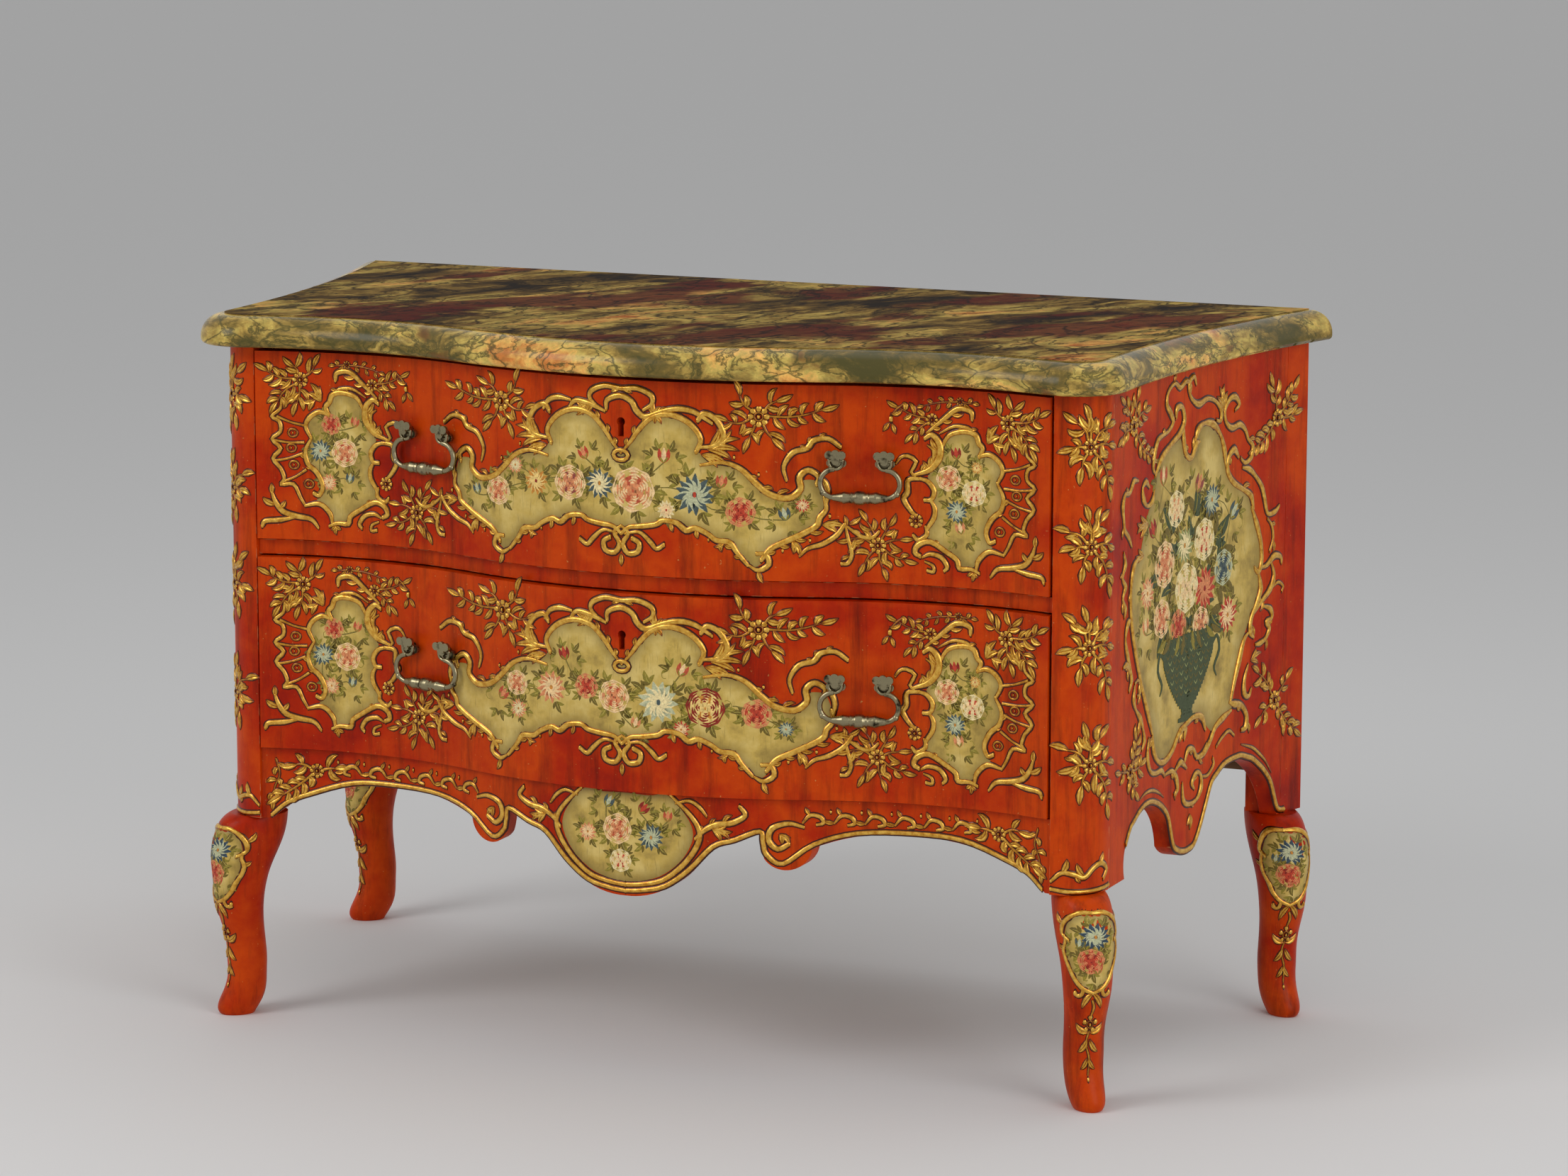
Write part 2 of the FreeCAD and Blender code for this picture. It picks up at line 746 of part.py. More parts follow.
def make_drawer_supports():
    """Runners, guides, kickers, dust boards, stops and glue blocks inside the case."""
    depth = ("post_back_y", "back_front_y")
    for level, top in (("upper", "rail_top"), ("lower", "apron_top")):
        for side, hand in ((-1, "left"), (1, "right")):
            keep(box(f"{level}_runner_{hand}_box", span(side, "runner_inner_x", "runner_outer_x"), depth,
                     (f"{top} - rail_thick", top)), f"{level}_runner_{hand}")
            keep(box(f"{level}_guide_{hand}_box", span(side, "guide_inner_x", "runner_outer_x"), depth,
                     (top, f"{top} + guide_height")), f"{level}_guide_{hand}")
    for side, hand in ((-1, "left"), (1, "right")):
        keep(box(f"kicker_{hand}_box", span(side, "runner_inner_x", "opening_half"), depth,
                 ("case_top - kicker_height", "case_top")), f"kicker_{hand}")
    stops = []
    for label, top in (("dust_board", "rail_top"), ("case_bottom_board", "apron_top")):
        board_top = f"({top} - dust_drop)"
        keep(box(f"{label}_box", ("-runner_inner_x", "runner_inner_x"), depth,
                 (f"{board_top} - dust_thick", board_top)), label)
        for side in (-1, 1):
            stops.append(box(f"stop_{len(stops)}", span(side, "stop_x", "stop_x + stop_width"),
                             ("drawer_back_y + stop_gap", "back_front_y"),
                             (board_top, f"{top} + stop_height")))
    keep(group("stops", stops), "drawer_stops")
    blocks = []
    for side in (-1, 1):
        for outer, low in (("(case_side_x - side_thick)", "post_back_y"),
                           ("rear_post_x", "(back_front_y - block_length)")):
            blocks.append(box(f"block_{len(blocks)}", span(side, f"{outer} - block_width", outer),
                              (low, f"{low} + block_length"), ("case_top - block_width", "case_top")))
    keep(group("blocks", blocks), "glue_blocks")


def front_tools(level, low, high):
    """What is cut out of a drawer front: keyhole, lock recess and the holes for the handles' stems."""
    key_z = f"({high} - key_drop)"
    reach = "(front_thick + overrun)"
    front_y = f"(crest_y + {reach})"
    slot_half = "(keyhole_slot / 2)"
    round_top = rod(f"{level}_key_round", "keyhole_radius", f"{reach} * 2", "0", front_y,
                    f"{key_z} + keyhole_rise", "-y")
    slot = box(f"{level}_key_slot", (negative(slot_half), slot_half), (f"crest_y - {reach}", front_y),
               (f"{key_z} - keyhole_fall", f"{key_z} + keyhole_rise"))
    keyhole = joined(f"{level}_keyhole", [round_top, slot])
    recess = box(f"{level}_lock_recess", ("-lock_width / 2", "lock_width / 2"),
                 ("lock_face_y", "lock_face_y + front_thick"), (f"{key_z} - lock_below_key", high))
    tools = [keyhole, recess]
    for side, hand in ((-1, "left"), (1, "right")):
        stems = [rod(f"{level}_{hand}_hole_{end}", "stem_radius", "front_thick + overrun * 2",
                     f"{end} * post_spacing / 2", "front_thick + overrun", "0", "-y") for end in (-1, 1)]
        holes = joined(f"{level}_{hand}_holes", stems)
        place_handle(holes, level, side)
        tools.append(holes)
    return keyhole, joined(f"{level}_front_tools", tools)


def place_handle(item, level, side):
    """Set a handle's piece on the hollow of the drawer front."""
    turn = "handle_lean" if side == 1 else negative("handle_lean")
    place(item, sided(side, "handle_x"), trough_face_y("0", "handle_x"),
          f"{level}_front_top - {level}_handle_drop", turn)


def make_handle_posts(level, side, hand):
    """The two flower-headed posts of one handle."""
    posts = []
    for end in (-1, 1):
        tag = f"{level}_{hand}_post_{'left' if end == -1 else 'right'}"
        x = f"{end} * post_spacing / 2"
        stem = rod(f"{tag}_stem", "stem_radius", "head_out - nut_out + nut_thick", x,
                   "nut_thick - nut_out", "0", "-y")
        shoulder = rod(f"{tag}_shoulder", "shoulder_radius", "head_out - seat_out", x, negative("seat_out"),
                       "0", "-y")
        parts = [stem, shoulder]
        for index, (across, up, high) in enumerate(PETAL_SHARES):
            start = "petal_out" if high else "rosette_out - petal_thick"
            petal = rod(f"{tag}_petal_{index}", "petal_radius", "petal_thick",
                        f"{x} + petal_radius * {across}", negative(start),
                        f"petal_radius * {up}", "-y")
            parts.append(petal)
        web = box(f"{tag}_web", (f"{x} - petal_radius", f"{x} + petal_radius"),
                  (negative("petal_out + petal_thick"), negative("petal_out")),
                  ("0", f"petal_radius * {WEB_SHARE}"))
        parts.append(web)
        eye = rod(f"{tag}_eye", "pin_radius + pin_clearance", "overrun * 2", f"{x} - overrun",
                  "-pivot_out", "0", "x")
        posts.append(cut(tag, joined(f"{tag}_solid", parts), eye))
    pair = group(f"{level}_{hand}_posts", posts)
    place_handle(pair, level, side)
    return keep(pair, f"{level}_handle_posts_{hand}")


def make_nuts(level):
    """The square nuts that hold the posts behind a drawer front."""
    pairs = []
    for side, hand in ((-1, "left"), (1, "right")):
        nuts = []
        for end in (-1, 1):
            x = f"{end} * post_spacing / 2"
            tag = f"{level}_{hand}_nut_{'left' if end == -1 else 'right'}"
            block = box(f"{tag}_block", (f"{x} - nut_size / 2", f"{x} + nut_size / 2"),
                        (negative("nut_out"), "nut_thick - nut_out"), ("-nut_size / 2", "nut_size / 2"))
            bore = rod(f"{tag}_bore", "stem_radius", "nut_thick + overrun * 2", x,
                       "nut_thick + overrun - nut_out", "0", "-y")
            nuts.append(cut(tag, block, bore))
        pair = group(f"{level}_{hand}_nuts", nuts)
        place_handle(pair, level, side)
        pairs.append(pair)
    keep(group(f"{level}_nuts", pairs), f"{level}_handle_nuts")


def quarter_ring(name, big, small, x, z, start, sweep):
    """Part of a round ring that hangs in the handle's own plane."""
    item = doc.addObject("Part::Torus", name)
    bind(item, "Radius1", big)
    bind(item, "Radius2", small)
    item.Angle3 = sweep
    turn = FreeCAD.Rotation(FreeCAD.Vector(1, 0, 0), 90) * FreeCAD.Rotation(FreeCAD.Vector(0, 0, 1), start)
    item.Placement = FreeCAD.Placement(FreeCAD.Vector(), turn)
    place(item, x, "-pivot_out", z)
    return item


def make_bail(level, side, hand):
    """One hanging handle: two eyes on pins, two curved arms and the turned bar between them."""
    tag = f"{level}_{hand}_bail"
    parts = []
    eye_low = "(eye_drop + eye_half)"
    bar_drop = f"({eye_low} + arm_radius * 2)"
    for end in (-1, 1):
        post_x = f"({end} * post_spacing / 2)"
        arm_x = f"({end} * (post_spacing / 2 + arm_shift))"
        key = f"{tag}_{'left' if end == -1 else 'right'}"
        parts.append(rod(f"{key}_pin", "pin_radius", "eye_half * 2", f"{post_x} - eye_half", "-pivot_out",
                         "0", "x"))
        for turn in (-1, 1):
            x = f"{post_x} + {turn} * eye_half"
            parts.append(ball(f"{key}_corner_{turn + 1}", f"pin_radius * {CORNER_SHARE}", x, "-pivot_out",
                              "0"))
            parts.append(rod(f"{key}_cheek_{turn + 1}", "pin_radius", "eye_drop", x, "-pivot_out",
                             "-eye_drop", "z"))
        parts.append(quarter_ring(f"{key}_eye", "eye_half", "pin_radius", post_x, "-eye_drop", 180, 180))
        start = 90 if end == -1 else -90
        parts.append(quarter_ring(f"{key}_arm", "arm_radius", "arm_wire", arm_x,
                                  f"-{eye_low} - arm_radius", start, 180))
        parts.append(ball(f"{key}_tail", f"arm_wire * {TAIL_SHARE}",
                          f"{arm_x} + {end} * arm_radius * {TAIL_OUT_SHARE}", "-pivot_out",
                          f"-{bar_drop} + arm_radius * {TAIL_UP_SHARE}"))
    for end in (-1, 1):
        for index in range(len(BAR_SHARES) - 1):
            near, near_radius, near_share = BAR_SHARES[index]
            far, far_radius, far_share = BAR_SHARES[index + 1]
            piece = doc.addObject("Part::Cone", f"{tag}_bar_{end + 1}_{index}")
            bind(piece, "Radius1", f"{near_radius} * {near_share}")
            bind(piece, "Radius2", f"{far_radius} * {far_share}")
            bind(piece, "Height", f"post_spacing * {far - near}")
            turn = FreeCAD.Rotation(FreeCAD.Vector(0, 1, 0), 90 * end)
            piece.Placement = FreeCAD.Placement(FreeCAD.Vector(), turn)
            place(piece, f"{end} * post_spacing * {near}", "-pivot_out", f"-{bar_drop}")
            parts.append(piece)
    bail = joined(tag, parts)
    place_handle(bail, level, side)
    keep(bail, f"{level}_bail_{hand}")


def make_lock(level, high, keyhole):
    """A lock let into the back of a drawer front, with its screws and its rising bolt."""
    key_z = f"({high} - key_drop)"
    low = f"({key_z} - lock_below_key)"
    half = "(bolt_width / 2)"
    plate = box(f"{level}_lock_plate", ("-lock_width / 2", "lock_width / 2"), ("lock_face_y", "lock_case_y"),
                (low, high))
    case = box(f"{level}_lock_case", ("-lock_case_width / 2", "lock_case_width / 2"),
               ("lock_case_y", "lock_case_y + lock_case_thick"), (f"{low} + screw_inset", high))
    slot = box(f"{level}_lock_slot", (f"-({half} + bolt_clearance)", f"{half} + bolt_clearance"),
               ("bolt_y - bolt_clearance", "bolt_y + bolt_thick + bolt_clearance"),
               (f"{high} - bolt_clearance - bolt_length - mortise_clearance", f"{high} + overrun"))
    key_reach = box(f"{level}_key_reach", ("-lock_width / 2", "lock_width / 2"),
                    ("bolt_y + bolt_thick", "lock_case_y + lock_case_thick + overrun * 2"), (low, high))
    key_tool = cut(f"{level}_key_tool", keyhole, key_reach)
    screws = []
    for side in (-1, 1):
        for z in (f"{low} + screw_inset", f"{high} - screw_inset"):
            tag = f"{level}_screw_{len(screws)}"
            x = sided(side, "(lock_width / 2 - screw_inset / 2)")
            head = rod(f"{tag}_head", "screw_head_radius", "screw_head_thick", x,
                       "lock_case_y + screw_head_thick", z, "-y")
            shank = rod(f"{tag}_shank", "screw_radius", "screw_length", x, "lock_case_y", z, "-y")
            screws.append(joined(tag, [shank, head]))
    screw_group = keep(group(f"{level}_screws", screws), f"{level}_lock_screws")
    tools = joined(f"{level}_lock_tools", [slot, key_tool] + screws)
    keep(cut(f"{level}_lock_cut", joined(f"{level}_lock_solid", [plate, case]), tools), f"{level}_lock")
    top = f"({high} - bolt_clearance)"
    keep(box(f"{level}_bolt_box", (negative(half), half), ("bolt_y", "bolt_y + bolt_thick"),
             (f"{top} - bolt_length", top)), f"{level}_lock_bolt")
    return screw_group


def make_drawer(level):
    """One drawer: waved front, two sides, back, bottom, lock and handles."""
    low, high = f"{level}_front_bottom", f"{level}_front_top"
    support = "rail_top" if level == "upper" else "apron_top"
    box_low = f"({support} + runner_lift)"
    box_high = f"({high} - drawer_side_drop)"
    bottom_z = f"({box_low} + bottom_lift)"
    inner = negative("front_thick")
    back_of_front = wave(inner, "drawer_inner_half")
    path = wave("0", "front_half") + [("front_half", "drawer_front_back_y"),
                                      ("drawer_inner_half", "drawer_front_back_y")]
    path += back_of_front[::-1] + [("-drawer_inner_half", "drawer_front_back_y"),
                                   ("-front_half", "drawer_front_back_y")]
    blank = slab(f"{level}_front_blank", path, low, high)
    keyhole, tools = front_tools(level, low, high)
    screws = make_lock(level, high, keyhole)
    front = cut(f"{level}_front_cut", blank, tools)
    keep(cut(f"{level}_front_screwed", front, screws), f"{level}_drawer_front")
    for side, hand in ((-1, "left"), (1, "right")):
        board = box(f"{level}_side_{hand}_board", span(side, "drawer_inner_half", "front_half"),
                    ("drawer_front_back_y", "drawer_back_y"), (box_low, box_high))
        groove = box(f"{level}_groove_{hand}",
                     span(side, "drawer_inner_half - groove_depth", "drawer_inner_half + groove_depth"),
                     ("drawer_front_back_y - groove_depth", "drawer_back_y + groove_depth"),
                     (bottom_z, f"{bottom_z} + bottom_thick"))
        keep(cut(f"{level}_side_{hand}_cut", board, groove), f"{level}_drawer_side_{hand}")
    keep(box(f"{level}_back_box", ("-drawer_inner_half", "drawer_inner_half"),
             ("drawer_back_y - drawer_side_thick", "drawer_back_y"),
             (f"{bottom_z} + bottom_thick", f"{box_high} - drawer_back_drop")), f"{level}_drawer_back")
    panel_half = "(drawer_inner_half + groove_depth)"
    corner_y = trough_face_y(inner, "drawer_inner_half")
    panel = back_of_front + [(panel_half, corner_y), (panel_half, "drawer_back_y"),
                             (negative(panel_half), "drawer_back_y"), (negative(panel_half), corner_y)]
    keep(slab(f"{level}_bottom_body", panel, bottom_z, f"{bottom_z} + bottom_thick"),
         f"{level}_drawer_bottom")
    for side, hand in ((-1, "left"), (1, "right")):
        make_handle_posts(level, side, hand)
        make_bail(level, side, hand)
    make_nuts(level)


FORMULAS["drawer_front_back_y"] = trough_face_y("0", "drawer_inner_half") + " + front_thick - notch_depth"

nails = make_nails()
make_top()
make_posts_and_legs()
make_side_panels()
make_rails()
make_apron()
make_back()
make_drawer_supports()
make_drawer("upper")
make_drawer("lower")
doc.recompute()

# Every object has to be sound before anything is written
for item in doc.Objects:
    if "Invalid" in item.State or "Error" in item.State:
        raise RuntimeError(f"{item.Name} did not build: {item.State}")
for node in nodes:
    if node.Shape.isNull() or not node.Shape.isValid():
        raise RuntimeError(f"{node.Label} has no sound shape")
    if min(solid.Volume for solid in node.Shape.Solids) <= 0:
        raise RuntimeError(f"{node.Label} has a solid that is inside out")

os.makedirs("parts", exist_ok=True)
for node in nodes:
    node.Shape.exportStep(f"parts/{node.Label}.step")
    print(f"{node.Label:26s} solids {len(node.Shape.Solids)}  volume {node.Shape.Volume / 1000:10.1f} cm3")
print(len(nodes), "nodes")
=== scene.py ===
"""The looks of a serpentine chest of two drawers.

Red lacquer with raised gilt scrolls, cream cartouches with painted flowers, and a top painted like marble.
"""

import json
import math
import random

import bmesh
import bpy
import numpy as np
from mathutils import Matrix, Vector
from mathutils.bvhtree import BVHTree

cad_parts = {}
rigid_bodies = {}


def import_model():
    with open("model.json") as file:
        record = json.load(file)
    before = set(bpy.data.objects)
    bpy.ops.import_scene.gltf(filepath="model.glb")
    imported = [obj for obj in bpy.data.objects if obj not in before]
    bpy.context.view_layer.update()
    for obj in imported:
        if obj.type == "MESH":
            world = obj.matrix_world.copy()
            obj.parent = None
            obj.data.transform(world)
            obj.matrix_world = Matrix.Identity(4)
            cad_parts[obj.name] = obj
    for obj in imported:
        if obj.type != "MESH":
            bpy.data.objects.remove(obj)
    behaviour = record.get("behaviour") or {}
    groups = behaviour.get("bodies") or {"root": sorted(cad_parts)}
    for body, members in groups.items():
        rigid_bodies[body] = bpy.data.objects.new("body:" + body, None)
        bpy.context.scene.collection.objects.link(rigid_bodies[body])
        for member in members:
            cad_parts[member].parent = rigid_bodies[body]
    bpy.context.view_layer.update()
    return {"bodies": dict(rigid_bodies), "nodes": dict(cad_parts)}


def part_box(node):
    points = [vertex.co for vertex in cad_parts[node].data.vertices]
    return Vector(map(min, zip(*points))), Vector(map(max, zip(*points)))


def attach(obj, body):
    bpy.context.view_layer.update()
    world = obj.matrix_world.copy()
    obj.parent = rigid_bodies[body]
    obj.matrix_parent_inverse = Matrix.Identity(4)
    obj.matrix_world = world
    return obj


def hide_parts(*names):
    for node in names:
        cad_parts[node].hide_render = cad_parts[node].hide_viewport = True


bl_info = {
    "name": "Serpentine chest",
    "version": (1, 0, 0),
    "blender": (4, 5, 0),
    "location": "3D View > Sidebar > Chest",
    "description": "Dresses a chest of two drawers in lacquer, gilding and painted flowers",
    "category": "Object",
}

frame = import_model()

MM = 0.001
# Rays start this far outside the chest, in millimetres
FAR = 2000.0
# Corners of a mesh nearer than this become one
WELD = 0.002 * MM
# Edges that turn by more than this angle in radians are worn round
SHARP = 0.6
# Faces that turn by less than this angle in radians are shaded as one
SMOOTH = 0.9
HANDS = (("left", -1), ("right", 1))
LEVELS = ("upper", "lower")


def linear(code):
    """Turn an sRGB hex colour into linear red, green and blue."""
    shares = [int(code[i:i + 2], 16) / 255 for i in (0, 2, 4)]
    return tuple(c / 12.92 if c <= 0.04045 else ((c + 0.055) / 1.055) ** 2.4 for c in shares)


def colour(label, code):
    """A colour that a user would change."""
    return bpy.props.FloatVectorProperty(name=label, description=f"Colour of the {label.lower()}",
                                         subtype="COLOR", size=3, min=0, max=1, default=linear(code))


def length(label, text, size):
    """A size in metres that a user would change."""
    return bpy.props.FloatProperty(name=label, description=text, default=size, min=0, unit="LENGTH")


class ChestSizes(bpy.types.PropertyGroup):
    """Sizes of the finish."""

    edge_round: length("Edge rounding", "How far the boards' edges are worn round", 1.0 * MM)
    gilt_lift: length("Gilding seat", "Height of the dark glaze line beside the gilding", 0.30 * MM)
    field_lift: length("Cartouche ground", "Height of the cream ground over the lacquer", 0.55 * MM)
    paint_lift: length("Paint layer", "Thickness of one layer of painted petals", 0.05 * MM)
    relief: bpy.props.FloatProperty(name="Gilding relief", subtype="FACTOR", min=0, max=2, default=0.62,
                                    description="Height of a gilt stroke as a share of its half width")


class ChestColours(bpy.types.PropertyGroup):
    """Colours of the finish."""

    vermilion: colour("Vermilion lacquer", "B42802")
    orange: colour("Orange lacquer", "CE4604")
    crimson: colour("Crimson retouching", "901608")
    soot: colour("Soot in the lacquer", "3E1006")
    worn: colour("Worn edge", "D08A5C")
    # A painted highlight: the palest gold, on the crests of the gilding
    gold: colour("Gold", "C08418")
    gold_highlight: colour("Rubbed gold", "ECBC50")
    # Dark glaze at the foot of each gilt stroke, which is also painted shade there
    bole: colour("Red under the gold", "8A420E")
    glaze_and_shade: colour("Dark glaze", "3A1608")
    cream: colour("Cartouche ground", "CCAC52")
    pale_cream: colour("Pale cartouche ground", "DEC270")
    # Also the olive painted shade along the gilt frame
    aged_and_shaded_cream: colour("Aged cartouche ground", "8C7434")


# Tones of the flower painting, by name, as hex colours
PAINTS = {
    "leaf": "94842E", "leaf_dark": "746222", "leaf_pale": "BEAC54", "stem": "7E7030",
    "pink": "E08E5C", "pink_dark": "C25434", "pink_pale": "F8D298", "rose": "C4442A", "rose_dark": "92281A",
    "blue": "4C5A58", "blue_dark": "364856", "blue_pale": "C2C49C", "white": "F4E0A6", "ochre": "CE8A34",
    "ochre_pale": "F6D280", "plum": "94483C", "teal": "465030", "teal_pale": "9A9C5E",
}
TONES = list(PAINTS)


def node(tree, kind, links=None, ramp=None, out=0, **settings):
    """Add a shader node with its settings, its links or values by socket, and its colour stops.

    It gives back the output that is read next. A Mix node's colours are sockets 6 and 7 and its output 2,
    its vectors are sockets 4 and 5 and its output 1, and its share is socket 0.
    """
    made = tree.nodes.new(f"ShaderNode{kind}")
    for key, setting in settings.items():
        setattr(made, key, setting)
    for socket, source in (links or {}).items():
        if isinstance(source, bpy.types.NodeSocket):
            tree.links.new(source, made.inputs[socket])
        else:
            made.inputs[socket].default_value = source
    if ramp:
        stops = made.color_ramp.elements
        while len(stops) < len(ramp):
            stops.new(1)
        for stop, (place, tint) in zip(stops, ramp):
            stop.position = place
            stop.color = (*tint, 1)
    return made.outputs[out]


def new_material(name, **settings):
    """A material with one Principled shader, its plain numbers set on the shader."""
    material = bpy.data.materials.new(name)
    material.use_nodes = True
    tree = material.node_tree
    shader = tree.nodes["Principled BSDF"]
    for socket, number in settings.items():
        shader.inputs[socket.replace("_", " ")].default_value = number
    return material, tree, shader


def marks(*sizes):
    """How many marks of a size in millimetres fit in a metre, for one size or for one along each axis."""
    counts = [1 / (size * MM) for size in sizes]
    return counts if len(counts) > 1 else counts[0]


def red_lacquer():
    """Old red lacquer over gesso, brushed by hand and varnished."""
    tints = bpy.context.scene.chest_colours
    material, tree, shader = new_material("lacquer_over_gesso", Coat_Weight=0.035, Coat_Roughness=0.12,
                                          Specular_IOR_Level=0.09)
    place = node(tree, "TexCoord", out="Object")
    # Clouds of crimson and orange as wide as a hand make the red uneven, and its gloss with it
    cloud = node(tree, "TexNoise", {"Vector": place, "Scale": marks(142.86), "Detail": 6, "Roughness": 0.62})
    red = node(tree, "ValToRGB", {"Fac": cloud}, [(0.27, tints.crimson), (0.40, tints.vermilion),
                                                  (0.56, tints.orange), (0.70, tints.vermilion)])
    gloss = node(tree, "MapRange", {"Value": cloud, "To Min": 0.30, "To Max": 0.50})
    tree.links.new(gloss, shader.inputs["Roughness"])
    # Upright streaks of soot make it look old and handled
    upright = node(tree, "Mapping", {"Vector": place, "Scale": marks(21.74, 21.74, 222.2)})
    streak = node(tree, "TexNoise", {"Vector": upright, "Scale": 1, "Detail": 7, "Roughness": 0.72})
    soot = node(tree, "MapRange", {"Value": streak, "From Min": 0.48, "From Max": 0.72, "To Max": 0.66})
    sooty = node(tree, "Mix", {0: soot, 6: red, 7: (*tints.soot, 1)}, out=2, data_type="RGBA")
    # Pale flecks are small losses
    fleck = node(tree, "TexNoise", {"Vector": place, "Scale": marks(3.846), "Detail": 2})
    loss = node(tree, "MapRange", {"Value": fleck, "From Min": 0.72, "From Max": 0.78, "To Max": 0.35})
    flecked = node(tree, "Mix", {0: loss, 6: sooty, 7: (*tints.pale_cream, 1)}, out=2, data_type="RGBA")
    # The edges are rubbed down to the pale ground in places
    edge = node(tree, "Attribute", out="Fac", attribute_name="edge")
    patch = node(tree, "TexNoise", {"Vector": place, "Scale": marks(14.29), "Detail": 4})
    rub = node(tree, "Math", {0: edge, 1: patch}, operation="MULTIPLY")
    bare = node(tree, "MapRange", {"Value": rub, "From Min": 0.50, "From Max": 0.62, "To Max": 0.75})
    final = node(tree, "Mix", {0: bare, 6: flecked, 7: (*tints.worn, 1)}, out=2, data_type="RGBA")
    tree.links.new(final, shader.inputs["Base Color"])
    # Brush marks and fine cracks break the reflections
    brush = node(tree, "Mapping", {"Vector": place, "Scale": marks(2.381, 2.381, 11.11)})
    brushed = node(tree, "TexNoise", {"Vector": brush, "Scale": 1, "Detail": 3})
    cells = node(tree, "TexVoronoi", {"Vector": place, "Scale": marks(8.333)}, feature="DISTANCE_TO_EDGE")
    crack = node(tree, "MapRange", {"Value": cells, "From Max": 0.03})
    height = node(tree, "Math", {0: brushed, 1: crack}, operation="ADD")
    bump = node(tree, "Bump", {"Height": height, "Strength": 0.22, "Distance": 0.35 * MM})
    tree.links.new(bump, shader.inputs["Normal"])
    return material


def gilding():
    """Gold leaf over red clay on raised gesso."""
    tints = bpy.context.scene.chest_colours
    material, tree, shader = new_material("gilding", Metallic=0.7, Roughness=0.27, Coat_Weight=0.2)
    place = node(tree, "TexCoord", out="Object")
    # The higher a place, the paler its gold, a painted highlight on the crests; dark glaze at the foot of
    # each stroke is also painted shade where it meets the ground
    rise = node(tree, "Attribute", out="Fac", attribute_name="rise")
    patch = node(tree, "TexNoise", {"Vector": place, "Scale": marks(5.882), "Detail": 4, "Roughness": 0.65})
    height = node(tree, "Math", {0: rise, 1: patch}, operation="MULTIPLY")
    tint = node(tree, "ValToRGB", {"Fac": height}, [(0.05, tints.glaze_and_shade), (0.17, tints.bole),
                                                    (0.33, tints.gold), (0.62, tints.gold_highlight)])
    tree.links.new(tint, shader.inputs["Base Color"])
    # The leaf's unevenness makes the glints sparkle
    bump = node(tree, "Bump", {"Height": patch, "Strength": 0.3, "Distance": 0.3 * MM})
    tree.links.new(bump, shader.inputs["Normal"])
    return material


def cream_ground():
    """Cream oil paint under aged varnish."""
    tints = bpy.context.scene.chest_colours
    dull = (*tints.aged_and_shaded_cream, 1)
    material, tree, shader = new_material("cream_ground", Roughness=0.45, Coat_Weight=0.1,
                                          Specular_IOR_Level=0.35)
    place = node(tree, "TexCoord", out="Object")
    # Yellowed varnish mottles the cream; olive painted shade darkens it along the raised gilt frame
    cloud = node(tree, "TexNoise", {"Vector": place, "Scale": marks(35.71), "Detail": 5, "Roughness": 0.6})
    cream = node(tree, "ValToRGB", {"Fac": cloud}, [(0.26, tints.aged_and_shaded_cream), (0.46, tints.cream),
                                                    (0.62, tints.pale_cream)])
    rim = node(tree, "Attribute", out="Fac", attribute_name="rim")
    olive = node(tree, "MapRange", {"Value": rim, "To Min": 0.85, "To Max": 0.0})
    rimmed = node(tree, "Mix", {0: olive, 6: cream, 7: dull}, out=2, data_type="RGBA")
    # Fine upright cracks, as the paint has over wood
    upright = node(tree, "Mapping", {"Vector": place, "Scale": marks(1.667, 1.667, 16.67)})
    craze = node(tree, "TexNoise", {"Vector": upright, "Scale": 1, "Detail": 4})
    line = node(tree, "MapRange", {"Value": craze, "From Min": 0.58, "From Max": 0.72, "To Max": 0.45})
    final = node(tree, "Mix", {0: line, 6: rimmed, 7: dull}, out=2, data_type="RGBA")
    tree.links.new(final, shader.inputs["Base Color"])
    bump = node(tree, "Bump", {"Height": craze, "Strength": 0.25, "Distance": 0.2 * MM})
    tree.links.new(bump, shader.inputs["Normal"])
    return material


def flower_paint():
    """Oil paint in thin strokes, each with its own tone."""
    material, tree, shader = new_material("flower_paint", Roughness=0.5, Specular_IOR_Level=0.3)
    place = node(tree, "TexCoord", out="Object")
    # The brush's hairs make each stroke lighter and darker along its length
    hairs = node(tree, "TexNoise", {"Vector": place, "Scale": marks(2.381), "Detail": 3})
    light = node(tree, "MapRange", {"Value": hairs, "From Min": 0.3, "From Max": 0.7, "To Min": 0.72,
                                    "To Max": 1.2})
    tone = node(tree, "Attribute", out="Color", attribute_name="tone")
    final = node(tree, "Mix", {0: 1.0, 6: tone, 7: light}, out=2, data_type="RGBA", blend_type="MULTIPLY")
    tree.links.new(final, shader.inputs["Base Color"])
    return material


# The top's flat face ends at this step, in metres over the floor; its moulded edge lies below
MARBLE_STEP = (0.8487, 0.8497)


